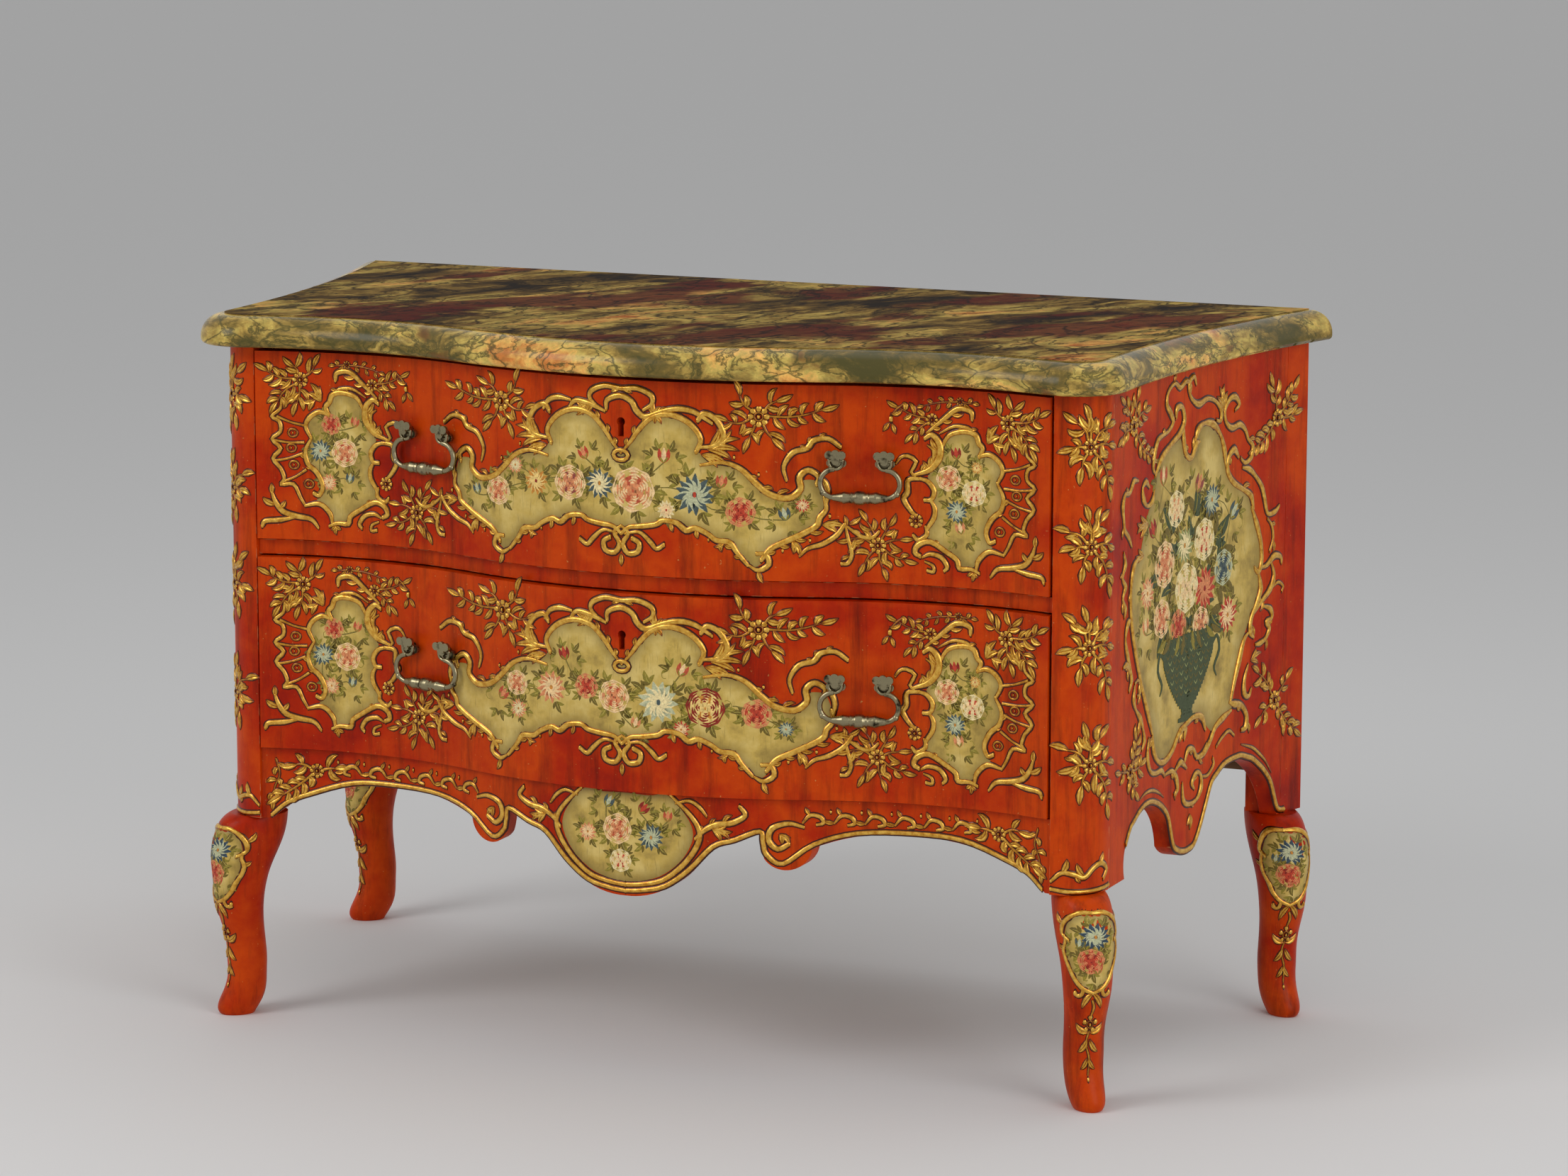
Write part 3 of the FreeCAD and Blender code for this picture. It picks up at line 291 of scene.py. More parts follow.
def painted_marble():
    """Wood painted like marble in oil and varnished."""
    material, tree, shader = new_material("painted_marble")
    place = node(tree, "TexCoord", out="Object")
    height = node(tree, "SeparateXYZ", {"Vector": place}, out="Z")
    below = node(tree, "MapRange", {"Value": height, "From Min": MARBLE_STEP[0], "From Max": MARBLE_STEP[1],
                                    "To Min": 1.0, "To Max": 0.0})
    # On the flat the drifts run aslant, twice as long as wide; on the edge they are even
    slanted = node(tree, "Mapping", {"Vector": place, "Rotation": (0, 0, -1.05)})
    flat = node(tree, "Mapping", {"Vector": slanted, "Scale": marks(400, 192.3, 192.3)})
    edging = node(tree, "Mapping", {"Vector": place, "Scale": marks(217.4, 217.4, 111.1)})
    chosen = node(tree, "Mix", {0: below, 4: flat, 5: edging}, out=1, data_type="VECTOR")
    warp = node(tree, "TexNoise", {"Vector": chosen, "Scale": 1.6, "Detail": 5}, out="Color")
    bent = node(tree, "Mix", {0: 0.38, 4: chosen, 5: warp}, out=1, data_type="VECTOR")
    # Drifts from brown-black over olive to ochre, about 60 mm wide
    drift = node(tree, "TexNoise", {"Vector": bent, "Scale": 3.2, "Detail": 7, "Roughness": 0.66})
    base = node(tree, "ValToRGB", {"Fac": drift}, [(0.36, linear("1C1208")), (0.44, linear("5C441C")),
                                                   (0.49, linear("907236")), (0.54, linear("AE964C")),
                                                   (0.61, linear("D29E52")), (0.68, linear("B0602A"))])
    # Oxblood clouds, more of them on the flat
    cloud = node(tree, "TexNoise", {"Vector": bent, "Scale": 1.7, "Detail": 4, "Roughness": 0.55})
    first = node(tree, "MapRange", {"Value": below, "To Min": 0.525, "To Max": 0.56})
    full = node(tree, "Math", {0: first, 1: 0.05}, operation="ADD")
    red = node(tree, "MapRange", {"Value": cloud, "From Min": first, "From Max": full, "To Max": 0.9})
    clouded = node(tree, "Mix", {0: red, 6: base, 7: (*linear("55160C"), 1)}, out=2, data_type="RGBA")
    # Dark veins along cell borders and folds
    cells = node(tree, "TexVoronoi", {"Vector": bent, "Scale": 4.6}, feature="DISTANCE_TO_EDGE")
    ridge = node(tree, "TexNoise", {"Vector": bent, "Scale": 5.5, "Detail": 7, "Roughness": 0.62})
    offset = node(tree, "Math", {0: ridge, 1: 0.5}, operation="SUBTRACT")
    fold = node(tree, "Math", {0: offset}, operation="ABSOLUTE")
    nearer = node(tree, "Math", {0: cells, 1: fold}, operation="MINIMUM")
    vein = node(tree, "MapRange", {"Value": nearer, "From Min": 0.004, "From Max": 0.030, "To Min": 0.85,
                                   "To Max": 0.0})
    veined = node(tree, "Mix", {0: vein, 6: clouded, 7: (*linear("140C06"), 1)}, out=2, data_type="RGBA")
    # A grain of dabs 14 mm wide keeps it looking painted
    fine = node(tree, "TexNoise", {"Vector": place, "Scale": marks(14.29), "Detail": 6, "Roughness": 0.7})
    light = node(tree, "MapRange", {"Value": fine, "From Min": 0.3, "From Max": 0.7, "To Min": 0.58,
                                    "To Max": 1.38})
    dabbed = node(tree, "Mix", {0: 1.0, 6: veined, 7: light}, out=2, data_type="RGBA", blend_type="MULTIPLY")
    # Chips along the worn edges show the pale ground
    edge = node(tree, "Attribute", out="Fac", attribute_name="edge")
    chip = node(tree, "Math", {0: edge, 1: fine}, operation="MULTIPLY")
    chipped = node(tree, "MapRange", {"Value": chip, "From Min": 0.52, "From Max": 0.60, "To Max": 0.8})
    worn = node(tree, "Mix", {0: chipped, 6: dabbed, 7: (*linear("CFC08A"), 1)}, out=2, data_type="RGBA")
    # The moulded edge is painted greener, and paler as a painted highlight along its rounded nose; it also
    # shines more than the flat
    green = node(tree, "Math", {0: below, 1: 0.12}, operation="MULTIPLY")
    greener = node(tree, "Mix", {0: green, 6: worn, 7: (*linear("B4AC5C"), 1)}, out=2, data_type="RGBA")
    bright = node(tree, "MapRange", {"Value": below, "To Min": 0.93, "To Max": 1.42})
    lit = node(tree, "Mix", {0: 1.0, 6: greener, 7: bright}, out=2, data_type="RGBA", blend_type="MULTIPLY")
    tree.links.new(lit, shader.inputs["Base Color"])
    shine = node(tree, "MapRange", {"Value": below, "To Min": 0.004, "To Max": 0.20})
    tree.links.new(shine, shader.inputs["Specular IOR Level"])
    gloss = node(tree, "MapRange", {"Value": below, "To Min": 0.45, "To Max": 0.24})
    tree.links.new(gloss, shader.inputs["Roughness"])
    bump = node(tree, "Bump", {"Height": fine, "Strength": 0.2, "Distance": 0.3 * MM})
    tree.links.new(bump, shader.inputs["Normal"])
    return material


def bare_wood(name, sizes):
    """Planed softwood, brown with age."""
    material, tree, shader = new_material(name, Roughness=0.7)
    # Long grain, light early wood between darker late wood
    place = node(tree, "TexCoord", out="Object")
    along = node(tree, "Mapping", {"Vector": place, "Scale": marks(*sizes)})
    grain = node(tree, "TexNoise", {"Vector": along, "Scale": 1, "Detail": 5})
    tint = node(tree, "ValToRGB", {"Fac": grain}, [(0.3, linear("6E5030")), (0.5, linear("886642")),
                                                   (0.7, linear("9C7A50"))])
    tree.links.new(tint, shader.inputs["Base Color"])
    bump = node(tree, "Bump", {"Height": grain, "Strength": 0.3, "Distance": 0.4 * MM})
    tree.links.new(bump, shader.inputs["Normal"])
    return material


def old_metal(name, bright, dark, roughness):
    """Cast or forged metal handled for years."""
    material, tree, shader = new_material(name, Metallic=1.0)
    place = node(tree, "TexCoord", out="Object")
    # Bright and smooth where hands rub it, with dark, dull patina elsewhere
    patch = node(tree, "TexNoise", {"Vector": place, "Scale": marks(11.11), "Detail": 4})
    tint = node(tree, "ValToRGB", {"Fac": patch}, [(0.30, linear(dark)), (0.44, linear(bright))])
    tree.links.new(tint, shader.inputs["Base Color"])
    gloss = node(tree, "MapRange", {"Value": patch, "From Min": 0.35, "From Max": 0.65,
                                    "To Min": roughness + 0.2, "To Max": roughness})
    tree.links.new(gloss, shader.inputs["Roughness"])
    # The grit of the cast surface
    grit = node(tree, "TexNoise", {"Vector": place, "Scale": marks(1.111), "Detail": 3})
    bump = node(tree, "Bump", {"Height": grit, "Strength": 0.15, "Distance": 0.1 * MM})
    tree.links.new(bump, shader.inputs["Normal"])
    return material


# Wood grain is about 8 mm wide and 400 mm long; its materials are named by the way the grain runs
MATERIAL_MAKERS = {
    "lacquer_over_gesso": red_lacquer,
    "gilding": gilding,
    "cream_ground": cream_ground,
    "flower_paint": flower_paint,
    "painted_marble": painted_marble,
    "wood_across": lambda: bare_wood("wood_across", (400, 7.692, 7.692)),
    "wood_deep": lambda: bare_wood("wood_deep", (7.692, 400, 7.692)),
    "wood_upright": lambda: bare_wood("wood_upright", (7.692, 7.692, 400)),
    "cast_brass": lambda: old_metal("cast_brass", "948A6C", "2C241A", 0.2),
    "forged_iron": lambda: old_metal("forged_iron", "55524C", "2A2826", 0.45),
}


def material_of(name):
    """A named material, made when it is first asked for."""
    return bpy.data.materials.get(name) or MATERIAL_MAKERS[name]()


def outer_faces(names):
    """A search tree over the faces of some nodes, in millimetres."""
    vertices, faces = [], []
    for name in names:
        mesh = frame["nodes"][name].data
        first = len(vertices)
        vertices += [corner.co / MM for corner in mesh.vertices]
        faces += [[first + i for i in face.vertices] for face in mesh.polygons]
    return BVHTree.FromPolygons(vertices, faces)


def cast_surface(names, us, vs, ray):
    """Map a drawing onto the outer surface of some nodes.

    For each place of a net a ray (start, direction) is cast in millimetres. The map takes rows of
    (u, v, height) and gives points in millimetres, with the height along the surface's normal.
    """
    tree = outer_faces(names)
    net = np.zeros((len(us), len(vs), 3))
    inward = np.zeros_like(net)
    for i, u in enumerate(us):
        for j, v in enumerate(vs):
            start, direction = ray(u, v)
            hit = tree.ray_cast(Vector(start), Vector(direction))[0]
            if hit is None:
                raise RuntimeError(f"no surface of {names} at {u}, {v}")
            net[i, j] = hit
            inward[i, j] = direction
    along = np.gradient(net, us, axis=0)
    up = np.gradient(net, vs, axis=1)
    normal = np.cross(along, up)
    normal /= np.linalg.norm(normal, axis=2, keepdims=True)
    normal *= -np.sign((normal * inward).sum(2, keepdims=True))

    def place(rows):
        i = np.clip(np.searchsorted(us, rows[:, 0]) - 1, 0, len(us) - 2)
        j = np.clip(np.searchsorted(vs, rows[:, 1]) - 1, 0, len(vs) - 2)
        s = ((rows[:, 0] - us[i]) / (us[i + 1] - us[i]))[:, None]
        t = ((rows[:, 1] - vs[j]) / (vs[j + 1] - vs[j]))[:, None]

        def between(table):
            low = table[i, j] * (1 - s) + table[i + 1, j] * s
            high = table[i, j + 1] * (1 - s) + table[i + 1, j + 1] * s
            return low * (1 - t) + high * t

        outward = between(normal)
        outward /= np.linalg.norm(outward, axis=1, keepdims=True)
        return between(net) + outward * rows[:, 2:3]

    return place


def front_surface(name, level, half):
    """The waved face of a drawer front or the apron; drawings give x and z.

    The face is upright, so a column every 5 mm and two rows at one level describe it.
    """
    us = np.linspace(-half, half, 199)
    vs = np.array([level, level + 1.0])
    return cast_surface([name], us, vs, lambda u, v: ((u, -FAR, v), (0, 1, 0)))


def side_nodes(hand):
    """The nodes that show at one side, from the front to the back."""
    return [f"front_post_{hand}", f"side_panel_{hand}", f"rear_post_{hand}"]


# The corner and the side are upright too; they are read at this height in millimetres
SIDE_LEVEL = 450.0


def corner_surface(hand, side):
    """A front post and the side behind it; drawings give the way round from the post's front edge, and z."""
    low, high = (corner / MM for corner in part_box(f"front_post_{hand}"))
    radius = high.x - low.x
    middle = Vector((high.x - radius if side == 1 else low.x + radius, low.y + radius))
    bend = radius * math.pi / 2
    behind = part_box(f"rear_post_{hand}")[1].y / MM - middle.y - 2.0
    us = np.concatenate([np.linspace(0.5, bend, 19), bend + np.linspace(6, behind, 60)])
    vs = np.array([SIDE_LEVEL, SIDE_LEVEL + 1.0])

    def ray(u, v):
        if u <= bend + 0.001:
            angle = u / radius
            out = Vector((side * math.sin(angle), -math.cos(angle), 0))
            return (middle.x + out.x * FAR, middle.y + out.y * FAR, v), tuple(-out)
        return (side * FAR, middle.y + u - bend, v), (-side, 0, 0)

    return cast_surface(side_nodes(hand), us, vs, ray)


# A leg's drawings reach this far up, and this far to each side; its knee is about so round
LEG_HEIGHTS = (6, 236)
LEG_REACH = 58
KNEE_RADIUS = 32.0


def leg_surface(name, facing):
    """A leg seen from one azimuth in degrees; drawings give the way round from there, and z."""
    corners = np.array([corner.co / MM for corner in frame["nodes"][name].data.vertices])
    us = np.linspace(-LEG_REACH, LEG_REACH, 25)
    vs = np.linspace(*LEG_HEIGHTS, 24)
    # The leg's middle at each height, from the corners nearest to that height
    middles = {}
    for v in vs:
        near = corners[np.argsort(np.abs(corners[:, 2] - v))[:60]]
        middles[v] = (near.min(0) + near.max(0)) / 2

    def ray(u, v):
        angle = math.radians(facing) + u / KNEE_RADIUS
        out = Vector((math.cos(angle), math.sin(angle), 0))
        return (middles[v][0] + out.x * 200, middles[v][1] + out.y * 200, v), tuple(-out)

    return cast_surface([name], us, vs, ray)


# A drawing is a list of strokes. A stroke is (points, widths, tone, closed, layer): points are (u, v) in
# millimetres, widths are half widths spread evenly along it, and a layer lies over those below it.
# A gilt stroke's tone is a scroll, or a leaf with a groove down its middle; a painted one's is its paint.
SCROLL = "scroll"
GROOVED = "grooved leaf"


def stroke(points, widths, tone=SCROLL, closed=False, layer=0):
    """One stroke through some points."""
    return (list(points), list(widths), tone, closed, layer)


def turned(centre, radius, angle):
    """A point at a distance and an angle in degrees from another."""
    return (centre[0] + radius * math.cos(math.radians(angle)),
            centre[1] + radius * math.sin(math.radians(angle)))


def leaf(base, angle, size, width, bend=0.0, tone=GROOVED, layer=0):
    """A pointed leaf that starts at a place, bent by some degrees."""
    points = [base]
    for step in range(4):
        points.append(turned(points[-1], size / 4, angle + bend * (step - 1.5) / 1.5))
    return stroke(points, [width * s for s in (0.25, 0.8, 1.0, 0.7, 0.12)], tone, False, layer)


def dot(centre, radius, tone=SCROLL, layer=0):
    """A round bead."""
    half = radius * 0.45
    return stroke([(centre[0] - half, centre[1]), centre, (centre[0] + half, centre[1])],
                  [radius * 0.75, radius, radius * 0.75], tone, False, layer)


def ring(centre, wide, high, width, layer=0):
    """A closed oval."""
    points = [(centre[0] + wide * math.cos(a * math.pi / 3), centre[1] + high * math.sin(a * math.pi / 3))
              for a in range(6)]
    return stroke(points, [width], SCROLL, True, layer)


def curl(start, angle, size, turns, width, tone=SCROLL):
    """A scroll that winds in from a place, by an angle in degrees (negative turns right)."""
    points = [start]
    steps = max(4, int(abs(turns) / 40))
    heading = angle
    for step in range(steps):
        shrink = 1 - 0.65 * step / steps
        points.append(turned(points[-1], size * shrink / steps, heading + turns / steps / 2))
        heading += turns / steps
    return stroke(points, [width * s for s in (0.45, 1.0, 0.9, 0.8, 1.15)], tone)


def blossom(centre, radius, petals=8, turn=0.0):
    """A raised flower: a ring of round petals, a ring of beads and a knob."""
    parts = []
    for petal in range(petals):
        angle = turn + 360 * petal / petals
        parts.append(stroke([turned(centre, radius * r, angle) for r in (0.50, 0.74, 0.96)],
                            [radius * w for w in (0.20, 0.30, 0.22)]))
    parts.append(ring(centre, radius * 0.40, radius * 0.40, radius * 0.10, layer=1))
    parts.append(dot(centre, radius * 0.22, layer=2))
    return parts


def leaf_fan(base, first, last, count, size, width, bend=18.0):
    """Leaves that spread from one place, between two headings in degrees."""
    parts = []
    for step in range(count):
        share = step / max(1, count - 1)
        angle = first + (last - first) * share
        longest = size * (0.75 + 0.25 * math.sin(math.pi * share))
        parts.append(leaf(base, angle, longest, width, bend if share > 0.5 else -bend))
    return parts


def part_way(path, place):
    """The spot, the run and the heading in degrees at a place along a path, counted in its pieces."""
    index = min(int(place), len(path) - 2)
    run = path[index + 1] - path[index]
    return path[index] + run * (place - index), run, math.degrees(math.atan2(run[1], run[0]))


def feathers(points, side, size, width, count, away=None):
    """Small leaves along one side of a scroll, as rocaille work has: the side away from a place if given."""
    path = np.array(points, float)
    parts = []
    for step in range(count):
        spot, run, heading = part_way(path, (step + 0.7) / (count + 0.4) * (len(path) - 1))
        if away:
            side = 1 if run[0] * (spot[1] - away[1]) > run[1] * (spot[0] - away[0]) else -1
        grown = size * (0.75 + 0.5 * step / max(1, count - 1))
        parts.append(leaf(tuple(spot), heading + side * 34, grown, width, -side * 26))
    return parts


def spray(points, size, width, seed, pairs=3):
    """A gilt stem with pairs of leaves and one at its end."""
    chance = random.Random(seed)
    parts = [stroke(points, [width * 0.42, width * 0.36, width * 0.25])]
    path = np.array(points, float)
    for pair in range(pairs):
        spot, run, heading = part_way(path, (pair + 0.45) / pairs * (len(path) - 1))
        for side in (-1, 1):
            base = tuple(spot + run / np.hypot(*run) * side * chance.uniform(1.0, 3.5))
            parts.append(leaf(base, heading + side * chance.uniform(26, 56),
                              size * chance.uniform(0.68, 1.12), width * chance.uniform(0.85, 1.15),
                              -side * chance.uniform(14, 46)))
    heading = part_way(path, len(path) - 1)[2]
    parts.append(leaf(tuple(path[-1]), heading, size, width, chance.uniform(-20, 20)))
    return parts


def flower_sprig(centre, radius, arms, size, width, seed):
    """A blossom from which leafy stems spread. Arms are (heading, length, bend, pairs of leaves)."""
    parts = blossom(centre, radius)
    for index, (heading, reach, bend, pairs) in enumerate(arms):
        points = [turned(centre, radius * 0.95, heading)]
        for step in range(3):
            points.append(turned(points[-1], reach / 3, heading + bend * (step - 0.5)))
        parts += spray(points, size, width, seed + index, pairs)
    return parts


def flipped(drawing):
    """A drawing's mirror image across the upright axis."""
    return shifted(drawing, wide=-1.0)


def shifted(drawing, right=0.0, up=0.0, wide=1.0):
    """A drawing widened and then moved."""
    return [([(u * wide + right, v + up) for u, v in points], *rest) for points, *rest in drawing]


# Layers of a drawing are raised this far apart, more than any stroke's height, and set close afterwards
LAYER_GAP = 100.0
# Strokes are cut into steps of about this length in millimetres, at most so many from point to point
STEP_LENGTH = 3.5
GILT_STEPS = 4
PAINT_STEPS = 3
# A raised layer of gilding stands this much higher, in millimetres
GILT_RISE = 0.8
# Gilding at this height in millimetres gets the palest painted highlight
HIGHLIGHT_HEIGHT = 2.2
# Sections of the strokes, one half width large: a round scroll, a grooved leaf and a flat dab of paint. A
# gilt stroke's low foot and a leaf's groove take the dark glaze colours, which are also painted shade
SECTIONS = {
    SCROLL: [(-1.50, -0.45), (-1.38, 0.0), (-0.98, 0.06), (-0.74, 0.62), (-0.38, 0.93), (0, 1),
             (0.38, 0.93), (0.74, 0.62), (0.98, 0.06), (1.38, 0.0), (1.50, -0.45)],
    GROOVED: [(-1.35, -0.45), (-1.22, 0.0), (-0.96, 0.10), (-0.66, 0.72), (-0.24, 0.66), (0, 0.30),
              (0.24, 0.66), (0.66, 0.72), (0.96, 0.10), (1.22, 0.0), (1.35, -0.45)],
    "paint": [(-1, -0.6), (-0.8, 0.45), (0, 1), (0.8, 0.45), (1, -0.6)],
}


def section_curve(kind):
    """A stroke's section as a closed line."""
    curve = bpy.data.objects.get(f"{kind} section")
    if curve:
        return curve
    data = bpy.data.curves.new(f"{kind} section", "CURVE")
    spline = data.splines.new("POLY")
    spline.points.add(len(SECTIONS[kind]) - 1)
    for point, (x, y) in zip(spline.points, SECTIONS[kind]):
        point.co = (x, y, 0, 1)
    spline.use_cyclic_u = True
    curve = bpy.data.objects.new(data.name, data)
    bpy.context.scene.collection.objects.link(curve)
    curve.hide_render = True
    return curve


def raise_strokes(drawing, kind, steps):
    """A mesh of flat strokes given a section, in at most some steps from point to point."""
    data = bpy.data.curves.new("strokes", "CURVE")
    data.dimensions = "3D"
    data.twist_mode = "Z_UP"
    data.bevel_mode = "OBJECT"
    data.bevel_object = section_curve(kind)
    data.use_fill_caps = True
    data.resolution_u = steps
    for _ in TONES:
        data.materials.append(None)
    for points, widths, tone, closed, layer in drawing:
        spline = data.splines.new("BEZIER")
        spline.bezier_points.add(len(points) - 1)
        spline.use_cyclic_u = closed
        spline.material_index = TONES.index(tone) if tone in PAINTS else 0
        flat = [Vector((u, v, layer * LAYER_GAP)) for u, v in points]
        reach = (flat[0] - flat[1]).length
        spline.resolution_u = max(steps - 2, min(steps, round(reach / STEP_LENGTH)))
        shares = np.linspace(0, len(widths) - 1, len(flat))
        halves = np.interp(shares, range(len(widths)), widths)
        for index, knot in enumerate(spline.bezier_points):
            before = flat[index - 1] if index or closed else flat[0]
            after = flat[(index + 1) % len(flat)] if index + 1 < len(flat) or closed else flat[-1]
            # Handles a sixth of the way between the neighbours give a smooth line, longer at its ends
            slope = (after - before) / 6
            if not closed and index in (0, len(flat) - 1):
                slope *= 1.6
            knot.handle_left_type = knot.handle_right_type = "FREE"
            knot.co = flat[index]
            knot.handle_left = flat[index] - slope
            knot.handle_right = flat[index] + slope
            knot.radius = halves[index]
    item = bpy.data.objects.new("strokes", data)
    bpy.context.scene.collection.objects.link(item)
    graph = bpy.context.evaluated_depsgraph_get()
    mesh = bpy.data.meshes.new_from_object(item.evaluated_get(graph))
    bpy.data.objects.remove(item)
    bpy.data.curves.remove(data)
    return mesh


def gilt_strokes(drawing):
    """One mesh of a drawing's scrolls, with a bead at each open end, and its grooved leaves."""
    joined = bmesh.new()
    beads = [dot(points[end], widths[end] * 1.2) for points, widths, tone, closed, _ in drawing
             if tone == SCROLL and not closed and len(points) > 3 for end in (0, -1)]
    for kind in (SCROLL, GROOVED):
        group = [part for part in drawing + beads if part[2] == kind]
        if group:
            raised = raise_strokes(group, kind, GILT_STEPS)
            joined.from_mesh(raised)
            bpy.data.meshes.remove(raised)
    mesh = bpy.data.meshes.new("strokes")
    joined.to_mesh(mesh)
    joined.free()
    return mesh


def places_of(mesh):
    """A mesh's vertices as rows of three numbers."""
    flat = np.zeros(len(mesh.vertices) * 3)
    mesh.vertices.foreach_get("co", flat)
    return flat.reshape(-1, 3)


def tone_vertices(mesh):
    """Give each vertex of painted strokes its paint, read from the material number of its stroke."""
    owner = np.zeros(len(mesh.polygons), int)
    mesh.polygons.foreach_get("material_index", owner)
    totals = np.zeros(len(mesh.polygons), int)
    mesh.polygons.foreach_get("loop_total", totals)
    corners = np.zeros(len(mesh.loops), int)
    mesh.loops.foreach_get("vertex_index", corners)
    tone = np.zeros(len(mesh.vertices), int)
    tone[corners] = np.repeat(owner, totals)
    palette = np.array([(*linear(PAINTS[key]), 1) for key in TONES], np.float32)
    tones = mesh.attributes.new("tone", "FLOAT_COLOR", "POINT")
    tones.data.foreach_set("color", palette[tone].ravel())


def lay(name, drawing, surface, body, paint=False):
    """Raise a drawing and wrap it on a surface, as one piece that rides on a body."""
    sizes = bpy.context.scene.chest_sizes
    lift = (sizes.field_lift if paint else sizes.gilt_lift) / MM
    mesh = raise_strokes(drawing, "paint", PAINT_STEPS) if paint else gilt_strokes(drawing)
    mesh.name = name
    flat = places_of(mesh)
    layer = np.round(flat[:, 2] / LAYER_GAP)
    local = flat[:, 2] - layer * LAYER_GAP
    if paint:
        height = np.where(local > 0, lift + (layer + 1) * sizes.paint_lift / MM, 0.0)
        tone_vertices(mesh)
    else:
        height = local * sizes.relief + lift + layer * GILT_RISE
        # Each point's height sets the gilding's painted shade at its foot and its painted highlight on the
        # crest
        rise = mesh.attributes.new("rise", "FLOAT", "POINT")
        rise.data.foreach_set("value", np.clip(local / HIGHLIGHT_HEIGHT, 0, 1).astype(np.float32))
    rows = np.column_stack([flat[:, :2], height])
    mesh.vertices.foreach_set("co", (surface(rows) * MM).ravel())
    mesh.polygons.foreach_set("material_index", np.zeros(len(mesh.polygons), int))
    mesh.materials.clear()
    mesh.materials.append(material_of("flower_paint" if paint else "gilding"))
    return finish_piece(name, mesh, body, SMOOTH)


def finish_piece(name, mesh, body, smooth_angle):
    """Close and smooth a mesh, put it in the scene and let it ride on a body."""
    work = bmesh.new()
    work.from_mesh(mesh)
    bmesh.ops.remove_doubles(work, verts=work.verts, dist=WELD)
    bmesh.ops.recalc_face_normals(work, faces=work.faces)
    work.to_mesh(mesh)
    work.free()
    mesh.shade_smooth()
    mesh.set_sharp_from_angle(angle=smooth_angle)
    item = bpy.data.objects.new(name, mesh)
    bpy.context.scene.collection.objects.link(item)
    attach(item, body)
    return item


def smooth_outline(points, steps=5):
    """More points on a closed outline, along a smooth line through the given ones."""
    knots = np.array(points, float)
    before, after, next_after = np.roll(knots, 1, 0), np.roll(knots, -1, 0), np.roll(knots, -2, 0)
    rows = []
    for share in np.arange(steps) / steps:
        square, cube = share ** 2, share ** 3
        rows.append(0.5 * (2 * knots + (after - before) * share
                           + (2 * before - 5 * knots + 4 * after - next_after) * square
                           + (3 * knots - before - 3 * after + next_after) * cube))
    return np.stack(rows, 1).reshape(-1, 2)


def field(name, outline, surface, body, grid=9.0, rim=16.0):
    """A thin painted ground inside an outline, cut into a net so that it follows the surface.

    The net is so many millimetres wide, and painted shade darkens the ground towards its edge over the rim's
    width.
    """
    lift = bpy.context.scene.chest_sizes.field_lift / MM
    line = smooth_outline(outline)
    work = bmesh.new()
    face = work.faces.new([work.verts.new((u, v, 0)) for u, v in line])
    bmesh.ops.triangulate(work, faces=[face])
    for axis in range(2):
        low, high = line[:, axis].min(), line[:, axis].max()
        normal = Vector((1, 0, 0) if axis == 0 else (0, 1, 0))
        for step in range(1, int((high - low) / grid) + 1):
            place = normal * (low + step * grid)
            bmesh.ops.bisect_plane(work, geom=work.verts[:] + work.edges[:] + work.faces[:],
                                   plane_co=place, plane_no=normal, dist=0.01)
    back = bmesh.ops.extrude_face_region(work, geom=work.faces[:])
    lowered = [item for item in back["geom"] if isinstance(item, bmesh.types.BMVert)]
    bmesh.ops.translate(work, verts=lowered, vec=(0, 0, -1))
    mesh = bpy.data.meshes.new(name)
    work.to_mesh(mesh)
    work.free()
    flat = places_of(mesh)
    # The ground thins towards its edge over the last 2 mm, and its back lies 1 mm inside the lacquer
    near = np.array([np.hypot(*(line - row[:2]).T).min() for row in flat])
    height = np.where(flat[:, 2] < -0.5, -1.0, lift * np.clip(near / 3 + 0.4, 0, 1))
    mesh.vertices.foreach_set("co", (surface(np.column_stack([flat[:, :2], height])) * MM).ravel())
    # Nearness to the edge, which sets the painted shade along the gilt frame
    shade = mesh.attributes.new("rim", "FLOAT", "POINT")
    shade.data.foreach_set("value", np.clip(near / rim, 0, 1).astype(np.float32))
    mesh.materials.append(material_of("cream_ground"))
    return finish_piece(name, mesh, body, 0.5)


def dress(name, materials, choose=lambda centre, normal: 0, edge_round=None):
    """Stand a welded copy of a node in its place, with its sharp edges worn round.

    The choice gives each face's material from its centre in millimetres and its normal.
    """
    sizes = bpy.context.scene.chest_sizes
    source = frame["nodes"][name]
    mesh = source.data.copy()
    mesh.name = f"{name}_finished"
    work = bmesh.new()
    work.from_mesh(mesh)
    bmesh.ops.remove_doubles(work, verts=work.verts, dist=WELD)
    bmesh.ops.dissolve_limit(work, angle_limit=math.radians(0.05), verts=work.verts, edges=work.edges)
    sharp = [edge for edge in work.edges if len(edge.link_faces) == 2 and edge.calc_face_angle(0) > SHARP]
    made = bmesh.ops.bevel(work, geom=sharp, offset=edge_round or sizes.edge_round, offset_type="OFFSET",
                           segments=2, profile=0.5, affect="EDGES", clamp_overlap=True, material=-1)
    worn = work.loops.layers.float.new("edge")
    for face in made["faces"]:
        for corner in face.loops:
            corner[worn] = 1.0
    bodies = [body for body, empty in frame["bodies"].items() if source.parent == empty]
    for face in work.faces:
        face.material_index = choose(face.calc_center_median() / MM, face.normal)
    work.to_mesh(mesh)
    work.free()
    mesh.materials.clear()
    for material in materials:
        mesh.materials.append(material_of(material))
    for layer in list(mesh.uv_layers):
        mesh.uv_layers.remove(layer)
    mesh.shade_smooth()
    mesh.set_sharp_from_angle(angle=SMOOTH)
    item = bpy.data.objects.new(f"{name}_finished", mesh)
    bpy.context.scene.collection.objects.link(item)
    item.modifiers.new("Flat faces", "WEIGHTED_NORMAL").keep_sharp = True
    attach(item, bodies[0])
    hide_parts(name)
    return item


